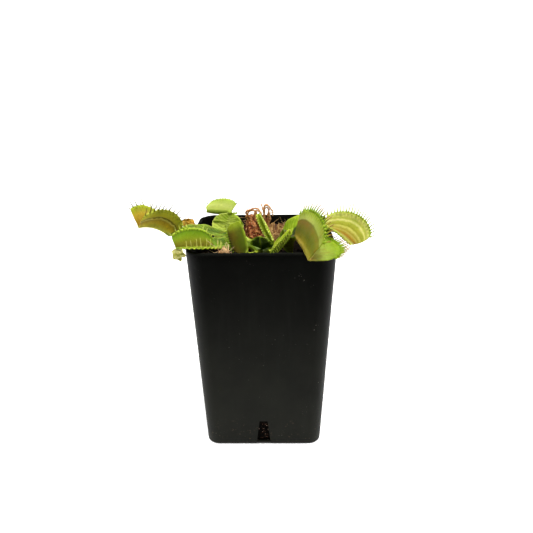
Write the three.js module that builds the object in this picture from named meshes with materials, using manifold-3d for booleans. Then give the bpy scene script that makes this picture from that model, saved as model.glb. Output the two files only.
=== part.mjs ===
// A Venus flytrap (Dionaea muscipula) in a tall square nursery pot, in millimetres, +Z up.
// The origin is the middle of the pot's foot, on the surface that it stands on. -Y is the front.
// Each leaf is one piece: a winged stalk that rises from the crown, a thin neck, and a trap of two
// lobes on a midrib, with a row of teeth along the edge of each lobe.

import * as THREE from "three";
import { mergeVertices } from "three/addons/utils/BufferGeometryUtils.js";
import Module from "manifold-3d";

const wasm = await Module();
wasm.setup();

// ---------------------------------------------------------------- driving dimensions
const GAP = 0.3; // between pieces that touch
const WELD = 1e-4; // points closer than this are one
const POT = {
  height: 116,
  top: 76, // outer width at the rim
  foot: 64, // outer width at the foot
  wall: 1.2,
  floor: 1.6,
  topCorner: 10, // outer corner radius at the rim
  footCorner: 7,
  footEdge: 1.5, // rounding between the walls and the foot
  edgeTurns: [0, 35, 65, 90],
  cornerSteps: 5,
};
// A drain slot low in each wall, and a shallow groove under each side of the foot.
const SLOT = { low: 2.4, high: 16, lowWidth: 7.6, highWidth: 4.4, depth: 9 };
const GROOVE = { width: 10, flank: 1, height: 0.8, depth: 22 };
const SIDES = [0, 90, 180, 270];
const SOIL = { level: 105, edgeDrop: 1.5, rings: 7, crumb: 0.5 };
// The crown is a bulb that stands in the soil. Leaves rise from seats on two rings about its middle.
const CROWN = {
  x: 1,
  y: 1,
  tip: 2.5, // radii, from the bottom up
  belly: 6.3,
  bulb: 7.4,
  neck: 6.6,
  crest: 3,
  bottom: 93, // heights
  bellyHeight: 97,
  bulbHeight: 102,
  shoulder: 106,
  top: 108.4,
  seat: 104.8,
  outer: 4.9, // the two rings of seats
  inner: 1.9,
  sides: 16,
};
const LEAF = {
  thickness: 0.7, // of blades and lobes
  base: 1.1, // rib radius at the crown
  neck: 0.75, // rib radius at the trap
  bare: 6, // length of the stalk below its wings
};
const STALK = {
  steps: 8,
  across: [-1, -0.45, 0, 0.45, 1],
  ribHalfWidth: 1.4,
  wingRoot: 1, // half width where the wings begin
  wingEnd: 0.8, // half width in the neck
  rounding: 2.4, // how squarely the wings close towards the trap
  foldBend: 1.4,
  ripples: 12,
  crowding: 1.3, // sections lie closer together towards the trap
  intoTrap: 0.12, // how far the neck reaches along the trap's midrib
  neckStart: 0.93,
};
const LOBE = {
  lengthSteps: 7,
  widthSteps: 3,
  flatness: 2.4,
  shoulder: 0.8,
  leastTurn: 0.001, // of a lobe with no bend
};
const TOOTH = { radius: 0.45, root: 0.9, sides: 3, stagger: 0.2, endLength: 0.7, upright: 0.7 };
const STRAND = { sides: 4, steps: 4, curl: 1.5, taper: 0.45, start: 1, hook: 1, droop: 2 };
// What anchors a tuft of moss in the soil, and how far its foot stands clear of it.
const PLUG = { radius: 2.4, depth: 3, clear: 1.2, sides: 12 };

const LOOKS = {
  pot: { color: 0x20211f, roughness: 0.45, metalness: 0 },
  soil: { color: 0x2b1c14, roughness: 1, metalness: 0 },
  leaf: { color: 0x86a63a, roughness: 0.5, metalness: 0 },
  crown: { color: 0xcfcf9c, roughness: 0.7, metalness: 0 },
  moss: { color: 0x8a4b2a, roughness: 0.9, metalness: 0 },
  straw: { color: 0xb08a52, roughness: 0.9, metalness: 0 },
};

// ---------------------------------------------------------------- the leaves of this plant
// A stalk runs through its points, with its broad upper side towards `face`. `width` is that of its
// wings, `widest` the share of its length where they are broadest, and `fold` how far they rise.
// A trap's midrib runs from joint to tip, bowed by `arch`, and its lobes open towards `mouth`. Each
// lobe leaves the midrib at its `hinge` angle from the mouth's middle and ends at its `edge` angle,
// given for both ends of the midrib. `width` is from the midrib to the teeth at the middle; `ends` is
// the share of it at the ends, and `fan` how far the lobes spread there past the midrib's ends.
const LEAVES = {
  leaf_far_left: {
    stalk: {
      seat: [188, CROWN.outer],
      points: [[-8, 0, 109.2], [-22, -2.5, 115], [-37, -5.5, 118.8]],
      face: [0, -0.25, 1],
      width: 9,
      widest: 0.6,
      fold: 0.25,
      wave: 0.05,
    },
    trap: {
      joint: [-50.3, -6.6, 116.6],
      tip: [-62.2, -21.5, 125.1],
      mouth: [0.07, 0.45, 0.89],
      arch: 2,
      width: 11.8,
      fan: [0.22, 0.15],
      ends: [0.61, 0.78],
      right: { hinge: [30, -2], edge: [52, 16] },
      left: { hinge: [35, 62], edge: [28, 52] },
      teeth: 10,
      tooth: 5.5,
      lean: 0.2,
    },
  },
  leaf_front_left: {
    stalk: {
      seat: [222, CROWN.outer],
      points: [[-7, -4.5, 109.3], [-14, -8.5, 110.4], [-20.5, -14.5, 112.4]],
      face: [0.25, -0.4, 0.85],
      width: 11,
      widest: 0.72,
      fold: 0.3,
      wave: 0.05,
    },
    trap: {
      joint: [-25.1, -22.9, 114.6],
      tip: [-41.5, -34.6, 118],
      mouth: [0.49, -0.46, 0.74],
      arch: 0.8,
      width: 9.7,
      fan: [0.08, 0.08],
      ends: [0.42, 0.6],
      right: { hinge: [74, 64], edge: [82, 70] },
      left: { hinge: [39, 42], edge: [43, 32] },
      teeth: 10,
      tooth: 4.5,
      lean: 0.2,
    },
  },
  leaf_back_left: {
    stalk: {
      seat: [124, CROWN.outer],
      points: [[-6, 7, 108.4], [-14.5, 7, 110.4], [-19.8, 6.8, 115], [-19, 6.6, 120]],
      face: [0.34, -0.8, 0.47],
      width: 18,
      widest: 0.7,
      fold: 0.12,
      wave: 0.04,
    },
    trap: {
      joint: [-17.7, 6.8, 125.4],
      tip: [-31.2, 11.4, 125.2],
      mouth: [0.33, 0.92, -0.19],
      arch: 0.2,
      width: 8.5,
      fan: [0.16, 0.16],
      ends: [0.6, 0.42],
      right: { hinge: [43, 36], edge: [-24, -29] },
      left: { hinge: [59, 54], edge: [56, 42] },
      teeth: 7,
      tooth: 3.5,
      lean: 0.2,
    },
  },
  leaf_small_left: {
    stalk: {
      seat: [256, CROWN.outer],
      points: [[-1.4, -8, 107.4], [-5, -15, 108.2]],
      face: [-0.3, 0, 1],
      width: 5,
      widest: 0.6,
      fold: 0.3,
      wave: 0,
    },
    trap: {
      joint: [-7.6, -21.7, 110.8],
      tip: [-11.6, -19.2, 127],
      mouth: [-0.82, 0.48, -0.3],
      arch: -1.2,
      width: 8.4,
      fan: [0.05, 0.05],
      ends: [0.5, 0.8],
      right: { hinge: [59, 55], edge: [30, 30] },
      left: { hinge: [64, 61], edge: [30, 30] },
      teeth: 7,
      tooth: 2.5,
      lean: 0.2,
    },
  },
  leaf_centre: {
    stalk: {
      seat: [345, CROWN.inner],
      points: [[4.6, -2.6, 108.6]],
      face: [-1, -0.4, 0.4],
      width: 2.6,
      widest: 0.6,
      fold: 0.3,
      wave: 0,
    },
    trap: {
      joint: [5.6, -5.4, 111.6],
      tip: [-2, -1, 126],
      mouth: [-0.1, -0.95, 0.2],
      arch: -0.6,
      width: 5,
      fan: [0.04, 0.04],
      ends: [0.75, 0.6],
      right: { hinge: [48, 48], edge: [-14, -14] },
      left: { hinge: [48, 48], edge: [-14, -14] },
      teeth: 6,
      tooth: 1.6,
      lean: 0.5,
    },
  },
  leaf_small_right: {
    stalk: {
      seat: [291, CROWN.outer],
      points: [[4.4, -8.5, 107.8]],
      face: [0.6, -0.2, 0.8],
      width: 3.4,
      widest: 0.6,
      fold: 0.3,
      wave: 0,
    },
    trap: {
      joint: [5.2, -18.4, 110.4],
      tip: [14.4, -22.6, 123],
      mouth: [0.3, -0.95, 0.1],
      arch: -0.5,
      width: 4.4,
      fan: [0.04, 0.04],
      ends: [0.6, 0.6],
      right: { hinge: [50, 48], edge: [-14, -14] },
      left: { hinge: [50, 48], edge: [-14, -14] },
      teeth: 6,
      tooth: 1.8,
      lean: 0.5,
    },
  },
  leaf_front_right: {
    stalk: {
      seat: [338, CROWN.outer],
      points: [[10.5, -2.5, 109.4], [15.5, -8, 113], [18, -14.5, 117]],
      face: [0.1, -0.8, 0.6],
      width: 18,
      widest: 0.5,
      fold: -0.15,
      wave: 0.05,
    },
    trap: {
      joint: [17.4, -21.4, 119.3],
      tip: [23, -48.3, 116.2],
      mouth: [0.93, 0.16, 0.34],
      arch: 0.5,
      width: 17.4,
      fan: [0.12, 0.12],
      ends: [0.6, 0.6],
      right: { hinge: [60, 48], edge: [51, 31] },
      left: { hinge: [32, 26], edge: [19, 0] },
      teeth: 11,
      tooth: 5,
      lean: 0.2,
    },
  },
  leaf_far_right: {
    stalk: {
      seat: [18, CROWN.outer],
      points: [[9.8, 3.5, 110.5], [17, 0.5, 117], [27, -2.5, 118.8]],
      face: [-0.3, -0.7, 0.65],
      width: 14,
      widest: 0.5,
      fold: 0.25,
      wave: 0.05,
    },
    trap: {
      joint: [34.2, -2.7, 117.6],
      tip: [47.8, -17.1, 114],
      mouth: [0.28, -0.07, 0.96],
      arch: 2.1,
      width: 14.8,
      fan: [0.29, 0.16],
      ends: [0.64, 0.58],
      right: { hinge: [67, 71], edge: [85, 67] },
      left: { hinge: [79, 81], edge: [9, -3] },
      teeth: 11,
      tooth: 4.5,
      lean: 0.1,
    },
  },
  leaf_cupped: {
    stalk: {
      seat: [262, CROWN.inner],
      points: [[0.6, -5.6, 109.7], [0, -10.4, 109.9], [-0.6, -13.4, 112.8], [-0.9, -14, 117.3]],
      face: [0.1, 0.55, 0.8],
      width: 12.4,
      widest: 0.46,
      fold: 0.3,
      wave: 0,
    },
  },
  leaf_withered: {
    stalk: {
      seat: [157, CROWN.outer],
      points: [[-9, 2.2, 106.4], [-24, 3, 106.6], [-31.6, 7.6, 109], [-33.6, 7, 116.4]],
      face: [0, 0, 1],
      width: 2,
      widest: 0.5,
      fold: 0.2,
      wave: 0,
    },
    trap: {
      joint: [-38.6, 5.4, 118.4],
      tip: [-44, 4.4, 118],
      mouth: [0.2, -0.3, 0.9],
      arch: 0.4,
      width: 3.6,
      fan: [0.1, 0.1],
      ends: [0.6, 0.6],
      right: { hinge: [40, 50], edge: [10, 30] },
      left: { hinge: [40, 30], edge: [30, -10] },
      teeth: 3,
      tooth: 1.2,
      lean: 0.3,
    },
    look: "straw",
  },
};

// Moss and dead fibres: where each tuft stands, and how its strands spread.
const TUFTS = {
  moss_tuft_back: {
    at: [-4, 12.6],
    core: { radius: 4.8, height: 15 },
    strands: 11,
    reach: [4, 8],
    rise: [9, 19],
    radius: 0.62,
    seed: 7,
    look: "moss",
  },
  moss_tuft_right: {
    at: [9.5, 20],
    core: { radius: 6.4, height: 8.4 },
    strands: 9,
    reach: [4, 9],
    rise: [6, 13],
    radius: 0.6,
    seed: 21,
    look: "straw",
  },
  moss_tuft_front: {
    at: [-18.4, -32.7],
    core: { radius: 2.6, height: 6.4 },
    strands: 7,
    reach: [1.3, 2.8],
    rise: [7, 11],
    radius: 0.55,
    seed: 5,
    look: "straw",
  },
};

// ---------------------------------------------------------------- small helpers
const { lerp, clamp, smoothstep, degToRad: rad } = THREE.MathUtils;
const vector = (p) => new THREE.Vector3(...p);

// Draws from 0 to 1, the same each time the part is built.
function seeded(seed) {
  let state = seed;
  return () => {
    state = (state * 1664525 + 1013904223) % 4294967296;
    return state / 4294967296;
  };
}

function solidOf(geometry) {
  const bare = geometry.index ? geometry.toNonIndexed() : geometry.clone();
  bare.deleteAttribute("normal");
  bare.deleteAttribute("uv");
  const merged = mergeVertices(bare, WELD);
  const mesh = new wasm.Mesh({
    numProp: 3,
    vertProperties: merged.attributes.position.array,
    triVerts: new Uint32Array(merged.index.array),
  });
  return new wasm.Manifold(mesh);
}

function geometryOf(solid) {
  const mesh = solid.getMesh();
  const positions = new Float32Array(mesh.numVert * 3);
  for (let i = 0; i < mesh.numVert; i++) {
    const start = i * mesh.numProp;
    positions.set(mesh.vertProperties.subarray(start, start + 3), i * 3);
  }
  return new THREE.BufferGeometry()
    .setAttribute("position", new THREE.BufferAttribute(positions, 3))
    .setIndex(new THREE.BufferAttribute(mesh.triVerts, 1));
}

const fuse = (solids) => solids.reduce((sum, solid) => sum.add(solid));

function skin(points, triangles) {
  return new THREE.BufferGeometry().setFromPoints(points).setIndex(triangles);
}

// A closed skin over rings of points, which run anticlockwise seen from the last ring's side.
function loft(rings) {
  const count = rings[0].length;
  const points = rings.flat();
  const triangles = [];
  for (let k = 0; k + 1 < rings.length; k++) {
    for (let i = 0; i < count; i++) {
      const a = k * count + i;
      const b = k * count + ((i + 1) % count);
      triangles.push(a, b, b + count, a, b + count, a + count);
    }
  }
  const middle = (ring) =>
    ring.reduce((sum, p) => sum.add(p), new THREE.Vector3()).divideScalar(count);
  const first = points.push(middle(rings[0])) - 1;
  const last = points.push(middle(rings[rings.length - 1])) - 1;
  const top = (rings.length - 1) * count;
  for (let i = 0; i < count; i++) {
    const next = (i + 1) % count;
    triangles.push(first, next, i, last, top + i, top + next);
  }
  return skin(points, triangles);
}

// A thin sheet round a grid of points, with a raised rib down the middle of one face. Both faces are
// split along the same lines.
function sheet(rows, thickness, rib) {
  const m = rows.length;
  const n = rows[0].length;
  const middle = (n - 1) / 2;
  const at = (i, j) => rows[Math.min(m - 1, Math.max(0, i))][Math.min(n - 1, Math.max(0, j))];
  const points = [];
  for (const offset of [thickness / 2, -thickness / 2]) {
    for (let i = 0; i < m; i++) {
      for (let j = 0; j < n; j++) {
        const along = at(i + 1, j).clone().sub(at(i - 1, j));
        const across = at(i, j + 1).clone().sub(at(i, j - 1));
        const normal = along.cross(across).normalize();
        const height = offset > 0 && j === middle ? rib : offset;
        points.push(at(i, j).clone().addScaledVector(normal, height));
      }
    }
  }
  const triangles = [];
  const quad = (a, b, c, d) => triangles.push(a, b, c, a, c, d);
  const under = m * n;
  for (let i = 0; i + 1 < m; i++) {
    for (let j = 0; j + 1 < n; j++) {
      const a = i * n + j;
      quad(a, a + n, a + n + 1, a + 1);
      triangles.push(under + a, under + a + n + 1, under + a + n);
      triangles.push(under + a, under + a + 1, under + a + n + 1);
    }
    const left = i * n;
    const right = left + n - 1;
    quad(left, under + left, under + left + n, left + n);
    quad(right, right + n, under + right + n, under + right);
  }
  for (let j = 0; j + 1 < n; j++) {
    const end = (m - 1) * n + j;
    quad(j, j + 1, under + j + 1, under + j);
    quad(end, under + end, under + end + 1, end + 1);
  }
  return skin(points, triangles);
}

// A round tube along a curve, whose radius may change on the way.
function tube(curve, radiusAt, steps, sides) {
  const frames = curve.computeFrenetFrames(steps, false);
  const rings = frames.normals.map((normal, k) => {
    const share = k / steps;
    const centre = curve.getPointAt(share);
    return Array.from({ length: sides }, (_, i) => {
      const angle = (2 * Math.PI * i) / sides;
      return centre
        .clone()
        .addScaledVector(normal, Math.cos(angle) * radiusAt(share))
        .addScaledVector(frames.binormals[k], Math.sin(angle) * radiusAt(share));
    });
  });
  return loft(rings);
}

// ---------------------------------------------------------------- pot
// A square of half width `half` with round corners, anticlockwise from above.
function squareRing(half, radius, z) {
  const inner = half - radius;
  const corners = [
    [inner, -inner, -90],
    [inner, inner, 0],
    [-inner, inner, 90],
    [-inner, -inner, 180],
  ];
  return corners.flatMap(([x, y, from]) => {
    const arc = new THREE.EllipseCurve(x, y, radius, radius, rad(from), rad(from + 90));
    return arc.getPoints(POT.cornerSteps).map((p) => new THREE.Vector3(p.x, p.y, z));
  });
}

const outerHalf = (z) => lerp(POT.foot, POT.top, z / POT.height) / 2;
const outerCorner = (z) => lerp(POT.footCorner, POT.topCorner, z / POT.height);
const insideRing = (z, clear = 0) =>
  squareRing(outerHalf(z) - POT.wall - clear, outerCorner(z) - POT.wall - clear, z);

// A cut into one side, `low` wide at height z0 and `high` wide at z1, that runs in by `depth`.
function sideCut(low, high, z0, z1, depth, turn) {
  const outline = new THREE.Shape([
    new THREE.Vector2(-low / 2, z0),
    new THREE.Vector2(low / 2, z0),
    new THREE.Vector2(high / 2, z1),
    new THREE.Vector2(-high / 2, z1),
  ]);
  const cut = new THREE.ExtrudeGeometry(outline, { depth, bevelEnabled: false });
  cut.translate(0, 0, POT.top / 2 - depth);
  return solidOf(cut.rotateX(Math.PI / 2).rotateZ(rad(turn)));
}

function makePot() {
  const outside = POT.edgeTurns.map((turn) => {
    const z = POT.footEdge * (1 - Math.cos(rad(turn)));
    const inset = POT.footEdge * (1 - Math.sin(rad(turn)));
    return squareRing(outerHalf(z) - inset, outerCorner(z) - inset, z);
  });
  outside.push(squareRing(outerHalf(POT.height), outerCorner(POT.height), POT.height));
  const room = loft([insideRing(POT.floor), insideRing(POT.height + 1)]);
  let pot = solidOf(loft(outside)).subtract(solidOf(room));
  const roof = GROOVE.width - 2 * GROOVE.flank;
  for (const turn of SIDES) {
    const slot = sideCut(SLOT.lowWidth, SLOT.highWidth, SLOT.low, SLOT.high, SLOT.depth, turn);
    const groove = sideCut(GROOVE.width, roof, -GROOVE.flank, GROOVE.height, GROOVE.depth, turn);
    pot = pot.subtract(slot).subtract(groove);
  }
  return pot;
}

// ---------------------------------------------------------------- soil and crown
// Height of the soil, whose crumbs are crossing waves.
function soilHeight(x, y) {
  const crumbs = Math.sin(0.62 * x + 1.4 * Math.sin(0.35 * y)) * Math.cos(0.55 * y - 0.22 * x);
  return SOIL.level + SOIL.crumb * crumbs;
}

function makeSoil(cuts) {
  const floor = POT.floor + GAP;
  const edge = insideRing(SOIL.level, GAP);
  const rings = [insideRing(floor, GAP), insideRing(SOIL.level - SOIL.edgeDrop, GAP)];
  for (let k = 0; k < SOIL.rings; k++) {
    const share = 1 - k / SOIL.rings;
    const scaled = edge.map((p) => new THREE.Vector3(p.x * share, p.y * share, 0));
    rings.push(scaled.map((p) => p.setZ(soilHeight(p.x, p.y))));
  }
  return cuts.reduce((soil, cut) => soil.subtract(cut), solidOf(loft(rings)));
}

const crownLathe = (outline) => {
  const points = outline.map(([radius, z]) => new THREE.Vector2(radius, z));
  const bulb = new THREE.LatheGeometry(points, CROWN.sides).rotateX(Math.PI / 2);
  return solidOf(bulb.translate(CROWN.x, CROWN.y, 0));
};

const makeCrown = () =>
  crownLathe([
    [0, CROWN.bottom],
    [CROWN.tip, CROWN.bottom],
    [CROWN.belly, CROWN.bellyHeight],
    [CROWN.bulb, CROWN.bulbHeight],
    [CROWN.neck, CROWN.shoulder],
    [CROWN.crest, CROWN.top],
    [0, CROWN.top],
  ]);

// The hole that the crown stands in, open at the top of the soil.
const crownHole = () =>
  crownLathe([
    [0, CROWN.bottom - GAP],
    [CROWN.tip + GAP, CROWN.bottom - GAP],
    [CROWN.belly + GAP, CROWN.bellyHeight],
    [CROWN.bulb + GAP, CROWN.bulbHeight],
    [CROWN.bulb + GAP, POT.height],
    [0, POT.height],
  ]);

// ---------------------------------------------------------------- leaves
const curveThrough = (points) => new THREE.CatmullRomCurve3(points, false, "centripetal");

// The stalk's middle line, from its seat in the crown to the trap, if it has one.
function stalkPoints(leaf) {
  const [angle, ring] = leaf.stalk.seat;
  const x = CROWN.x + ring * Math.cos(rad(angle));
  const y = CROWN.y + ring * Math.sin(rad(angle));
  const points = [[x, y, CROWN.seat], ...leaf.stalk.points];
  if (leaf.trap) points.push(leaf.trap.joint);
  return points.map(vector);
}

// Half the width of a stalk's wings: they grow to their shoulders, then round off to the neck.
function wingHalfWidth(stalk, t) {
  const grow = lerp(STALK.wingRoot, stalk.width / 2, smoothstep(t, 0, stalk.widest));
  const past = Math.max(0, (t - stalk.widest) / (1 - stalk.widest));
  return Math.max(STALK.wingEnd, grow * Math.sqrt(1 - past ** STALK.rounding));
}

// One section across a stalk: its upper side from the left wing to the right, then its lower side.
function stalkSection(stalk, centre, along, t, half) {
  const rib = lerp(LEAF.base, LEAF.neck, t);
  const winged = smoothstep(half, LEAF.base, 2 * STALK.ribHalfWidth);
  const side = along.clone().cross(vector(stalk.face)).normalize();
  const up = side.clone().cross(along);
  const at = (u, under) => {
    const off = Math.min(1, (Math.abs(u) * half) / STALK.ribHalfWidth);
    const round = Math.max(LEAF.thickness / 2, rib * Math.sqrt(1 - off ** 2));
    const above = lerp(round, LEAF.thickness / 2, winged);
    const lift = stalk.fold * half * Math.abs(u) ** STALK.foldBend;
    const wave = stalk.wave * half * u * u * Math.sin(STALK.ripples * t + 2 * u);
    const height = (lift + wave) * winged + (under ? -round : above);
    return centre.clone().addScaledVector(side, half * u).addScaledVector(up, height);
  };
  return [
    ...STALK.across.map((u) => at(u, false)),
    ...STALK.across.map((u) => at(-u, true)),
  ];
}

// The stalk: a rib, round at the crown, that grows wings and ends in a thin neck.
function makeStalk(leaf) {
  const { stalk, trap } = leaf;
  const points = stalkPoints(leaf);
  if (trap) points.push(midrib(trap, STALK.intoTrap).point);
  const curve = curveThrough(points);
  const start = LEAF.bare / curve.getLength();
  const end = trap ? STALK.neckStart : 1;
  const places = [0, start / 2];
  for (let i = 0; i <= STALK.steps; i++) {
    places.push(lerp(start, 1, 1 - (1 - i / STALK.steps) ** STALK.crowding));
  }
  const rings = places.map((place) => {
    const t = clamp((place - start) / (end - start), 0, 1);
    const half = place < start ? LEAF.base : wingHalfWidth(stalk, t);
    return stalkSection(stalk, curve.getPointAt(place), curve.getTangentAt(place), t, half);
  });
  return solidOf(loft(rings));
}

// Where a trap's midrib is at a share s of its length, which way it runs, and which way it opens.
function midrib(trap, s) {
  const joint = vector(trap.joint);
  const along = vector(trap.tip).sub(joint);
  const length = along.length();
  along.normalize();
  const mouth = vector(trap.mouth);
  mouth.addScaledVector(along, -mouth.dot(along)).normalize();
  const slope = (4 * trap.arch * (1 - 2 * s)) / length;
  const tangent = along.clone().addScaledVector(mouth, slope).normalize();
  const open = mouth.clone().addScaledVector(tangent, -mouth.dot(tangent)).normalize();
  const side = tangent.clone().cross(open);
  const point = joint
    .addScaledVector(along, length * s)
    .addScaledVector(mouth, 4 * trap.arch * s * (1 - s));
  return { point, tangent, open, side, length };
}

// A place on a lobe, r from 0 at the midrib to 1 at the teeth. hand is 1 for the right lobe, -1 left.
function lobePoint(trap, hand, s, r) {
  const { point, tangent, open, side, length } = midrib(trap, s);
  const lobe = hand > 0 ? trap.right : trap.left;
  const first = rad(lerp(...lobe.hinge, s));
  const turn = rad(lerp(...lobe.edge, s)) - first || LOBE.leastTurn;
  const swell = (1 - Math.abs(2 * s - 1) ** LOBE.flatness) ** LOBE.shoulder;
  const reach = trap.width * lerp(lerp(...trap.ends, s), 1, swell);
  const angle = first + turn * r;
  const out = (Math.cos(first) - Math.cos(angle)) / turn;
  const rise = (Math.sin(angle) - Math.sin(first)) / turn;
  return point
    .addScaledVector(side, hand * reach * out)
    .addScaledVector(open, reach * rise)
    .addScaledVector(tangent, (2 * s - 1) * lerp(...trap.fan, s) * length * r);
}

// Both lobes are one sheet, bent at the midrib.
function makeLobes(trap) {
  const { lengthSteps, widthSteps } = LOBE;
  const rows = [];
  for (let i = 0; i <= lengthSteps; i++) {
    const row = [];
    for (let j = -widthSteps; j <= widthSteps; j++) {
      const hand = j < 0 ? -1 : 1;
      row.push(lobePoint(trap, hand, i / lengthSteps, Math.abs(j) / widthSteps));
    }
    rows.push(row);
  }
  return solidOf(sheet(rows, LEAF.thickness, LEAF.neck));
}

// Teeth carry on the curve of their lobe, and lean over the mouth. Their roots are inside the lobe.
function makeTeeth(trap, hand) {
  const teeth = [];
  const up = new THREE.Vector3(0, 1, 0);
  const step = 0.5 / trap.teeth;
  for (let k = 0; k < trap.teeth; k++) {
    const s = (k + 0.5 + TOOTH.stagger * hand) / trap.teeth;
    const root = lobePoint(trap, hand, s, 1);
    const outward = root.clone().sub(lobePoint(trap, hand, s, 0.75)).normalize();
    const before = lobePoint(trap, hand, Math.max(0, s - step), 1);
    const edge = lobePoint(trap, hand, Math.min(1, s + step), 1).sub(before).normalize();
    outward.addScaledVector(edge, -TOOTH.upright * outward.dot(edge));
    outward.addScaledVector(midrib(trap, s).side, -hand * trap.lean).normalize();
    const length = trap.tooth * lerp(TOOTH.endLength, 1, Math.sin(Math.PI * s));
    const cone = new THREE.ConeGeometry(TOOTH.radius, length + TOOTH.root, TOOTH.sides);
    cone.translate(0, (length - TOOTH.root) / 2, 0);
    cone.applyQuaternion(new THREE.Quaternion().setFromUnitVectors(up, outward));
    teeth.push(solidOf(cone.translate(...root)));
  }
  return teeth;
}

function makeLeaf(leaf) {
  const parts = [makeStalk(leaf)];
  if (leaf.trap) {
    parts.push(makeLobes(leaf.trap), ...makeTeeth(leaf.trap, 1), ...makeTeeth(leaf.trap, -1));
  }
  return fuse(parts);
}

// The room that a leaf's base needs in the crown.
function leafSocket(leaf) {
  const base = curveThrough(stalkPoints(leaf));
  const share = LEAF.bare / base.getLength();
  const start = base.getPointAt(0).addScaledVector(base.getTangentAt(0), -GAP);
  const path = [start, ...[1 / 3, 2 / 3, 1].map((part) => base.getPointAt(part * share))];
  const sides = 6;
  const radius = (LEAF.base + GAP) / Math.cos(Math.PI / sides);
  return solidOf(tube(curveThrough(path), () => radius, path.length - 1, sides));
}

// ---------------------------------------------------------------- moss
const tuftGround = ([x, y]) => soilHeight(x, y) + PLUG.clear;

// A matted core with a plug below it, turned about its own upright axis.
function tuftCore(tuft) {
  const ground = tuftGround(tuft.at);
  const { radius, height } = tuft.core;
  const mound = new THREE.SplineCurve([
    new THREE.Vector2(radius, ground),
    new THREE.Vector2(radius * 0.85, ground + height * 0.4),
    new THREE.Vector2(radius * 0.4, ground + height * 0.85),
    new THREE.Vector2(0, ground + height),
  ]);
  const outline = [
    new THREE.Vector2(0, ground - PLUG.depth),
    new THREE.Vector2(PLUG.radius, ground - PLUG.depth),
    new THREE.Vector2(PLUG.radius, ground),
    ...mound.getPoints(4),
  ];
  const core = new THREE.LatheGeometry(outline, 9).rotateX(Math.PI / 2);
  return solidOf(core.translate(...tuft.at, 0));
}

// A strand climbs out of the core, curls to one side and hooks over at its end.
function tuftStrand(tuft, turn, draw) {
  const [x, y] = tuft.at;
  const ground = tuftGround(tuft.at);
  const reach = lerp(...tuft.reach, draw());
  const rise = lerp(...tuft.rise, draw());
  const curl = lerp(-STRAND.curl, STRAND.curl, draw());
  const at = (out, up, bend) =>
    new THREE.Vector3(
      x + Math.cos(turn) * out - Math.sin(turn) * bend,
      y + Math.sin(turn) * out + Math.cos(turn) * bend,
      ground + up,
    );
  const path = [
    at(STRAND.start, tuft.radius, 0),
    at(reach / 2, rise * 0.6, curl),
    at(reach, rise, 0),
    at(reach + STRAND.hook, rise - STRAND.droop, -curl),
  ];
  const radiusAt = (share) => tuft.radius * (1 - STRAND.taper * share);
  return solidOf(tube(curveThrough(path), radiusAt, STRAND.steps, STRAND.sides));
}

function makeTuft(tuft) {
  const draw = seeded(tuft.seed);
  const parts = [tuftCore(tuft)];
  for (let k = 0; k < tuft.strands; k++) {
    const turn = (2 * Math.PI * (k + draw() / 2)) / tuft.strands;
    parts.push(tuftStrand(tuft, turn, draw));
  }
  return fuse(parts);
}

function tuftHole(tuft) {
  const bottom = tuftGround(tuft.at) - PLUG.depth - GAP;
  const depth = POT.height - bottom;
  const radius = PLUG.radius + GAP;
  const hole = new THREE.CylinderGeometry(radius, radius, depth, PLUG.sides);
  return solidOf(hole.rotateX(Math.PI / 2).translate(...tuft.at, bottom + depth / 2));
}

// ---------------------------------------------------------------- assembly
const plant = new THREE.Group();

function add(name, solid, look) {
  const mesh = new THREE.Mesh(geometryOf(solid), new THREE.MeshStandardMaterial(LOOKS[look]));
  mesh.name = name;
  plant.add(mesh);
}

const leaves = Object.entries(LEAVES);
const tufts = Object.entries(TUFTS);
const sockets = leaves.map(([, leaf]) => leafSocket(leaf));
const holes = tufts.map(([, tuft]) => tuftHole(tuft));

add("pot", makePot(), "pot");
add("soil", makeSoil([crownHole(), ...sockets, ...holes]), "soil");
add("crown", sockets.reduce((crown, socket) => crown.subtract(socket), makeCrown()), "crown");
for (const [name, leaf] of leaves) add(name, makeLeaf(leaf), leaf.look ?? "leaf");
for (const [name, tuft] of tufts) add(name, makeTuft(tuft), tuft.look);

export default plant;
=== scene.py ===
# %% [markdown]
# # A Venus flytrap in a tall nursery pot
# The plant is a rosette: winged leaf stalks rise from a short crown in the soil, and each ends in a
# trap, two lobes hinged on a midrib with a comb of teeth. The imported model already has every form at
# its real size, with few faces. This lesson makes the same forms again from the same measures, fine
# enough for a close look, and gives each surface the colours of the living plant.

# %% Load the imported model
import math
import random

import bmesh
import bpy
import numpy as np
from mathutils import Matrix, Vector, noise


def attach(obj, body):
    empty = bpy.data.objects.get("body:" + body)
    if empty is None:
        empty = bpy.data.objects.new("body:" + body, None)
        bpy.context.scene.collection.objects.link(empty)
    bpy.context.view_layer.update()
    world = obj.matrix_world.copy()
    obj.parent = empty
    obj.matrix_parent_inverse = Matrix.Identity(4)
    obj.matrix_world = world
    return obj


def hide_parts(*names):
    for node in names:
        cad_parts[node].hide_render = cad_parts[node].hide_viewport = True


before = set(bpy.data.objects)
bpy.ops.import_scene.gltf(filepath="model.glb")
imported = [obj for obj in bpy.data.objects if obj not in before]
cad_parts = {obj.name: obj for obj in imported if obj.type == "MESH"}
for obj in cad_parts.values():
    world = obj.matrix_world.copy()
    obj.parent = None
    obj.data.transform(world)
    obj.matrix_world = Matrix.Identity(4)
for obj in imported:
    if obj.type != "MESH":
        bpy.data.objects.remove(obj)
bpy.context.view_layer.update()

# %% [markdown]
# ## Small tools
# All measures below are in millimetres, and a mesh is made in metres at the last moment. Colours are
# as a picture shows them, 0 to 255. A Skin gathers points, faces and marks. A mark is a number per
# point, such as how far it is from the hinge of its trap, and the finishes read the marks to know
# where they are on the plant.


# %% Numbers, vectors and colours
MM = 0.001


def lerp(a, b, t):
    return a + (b - a) * t


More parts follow.
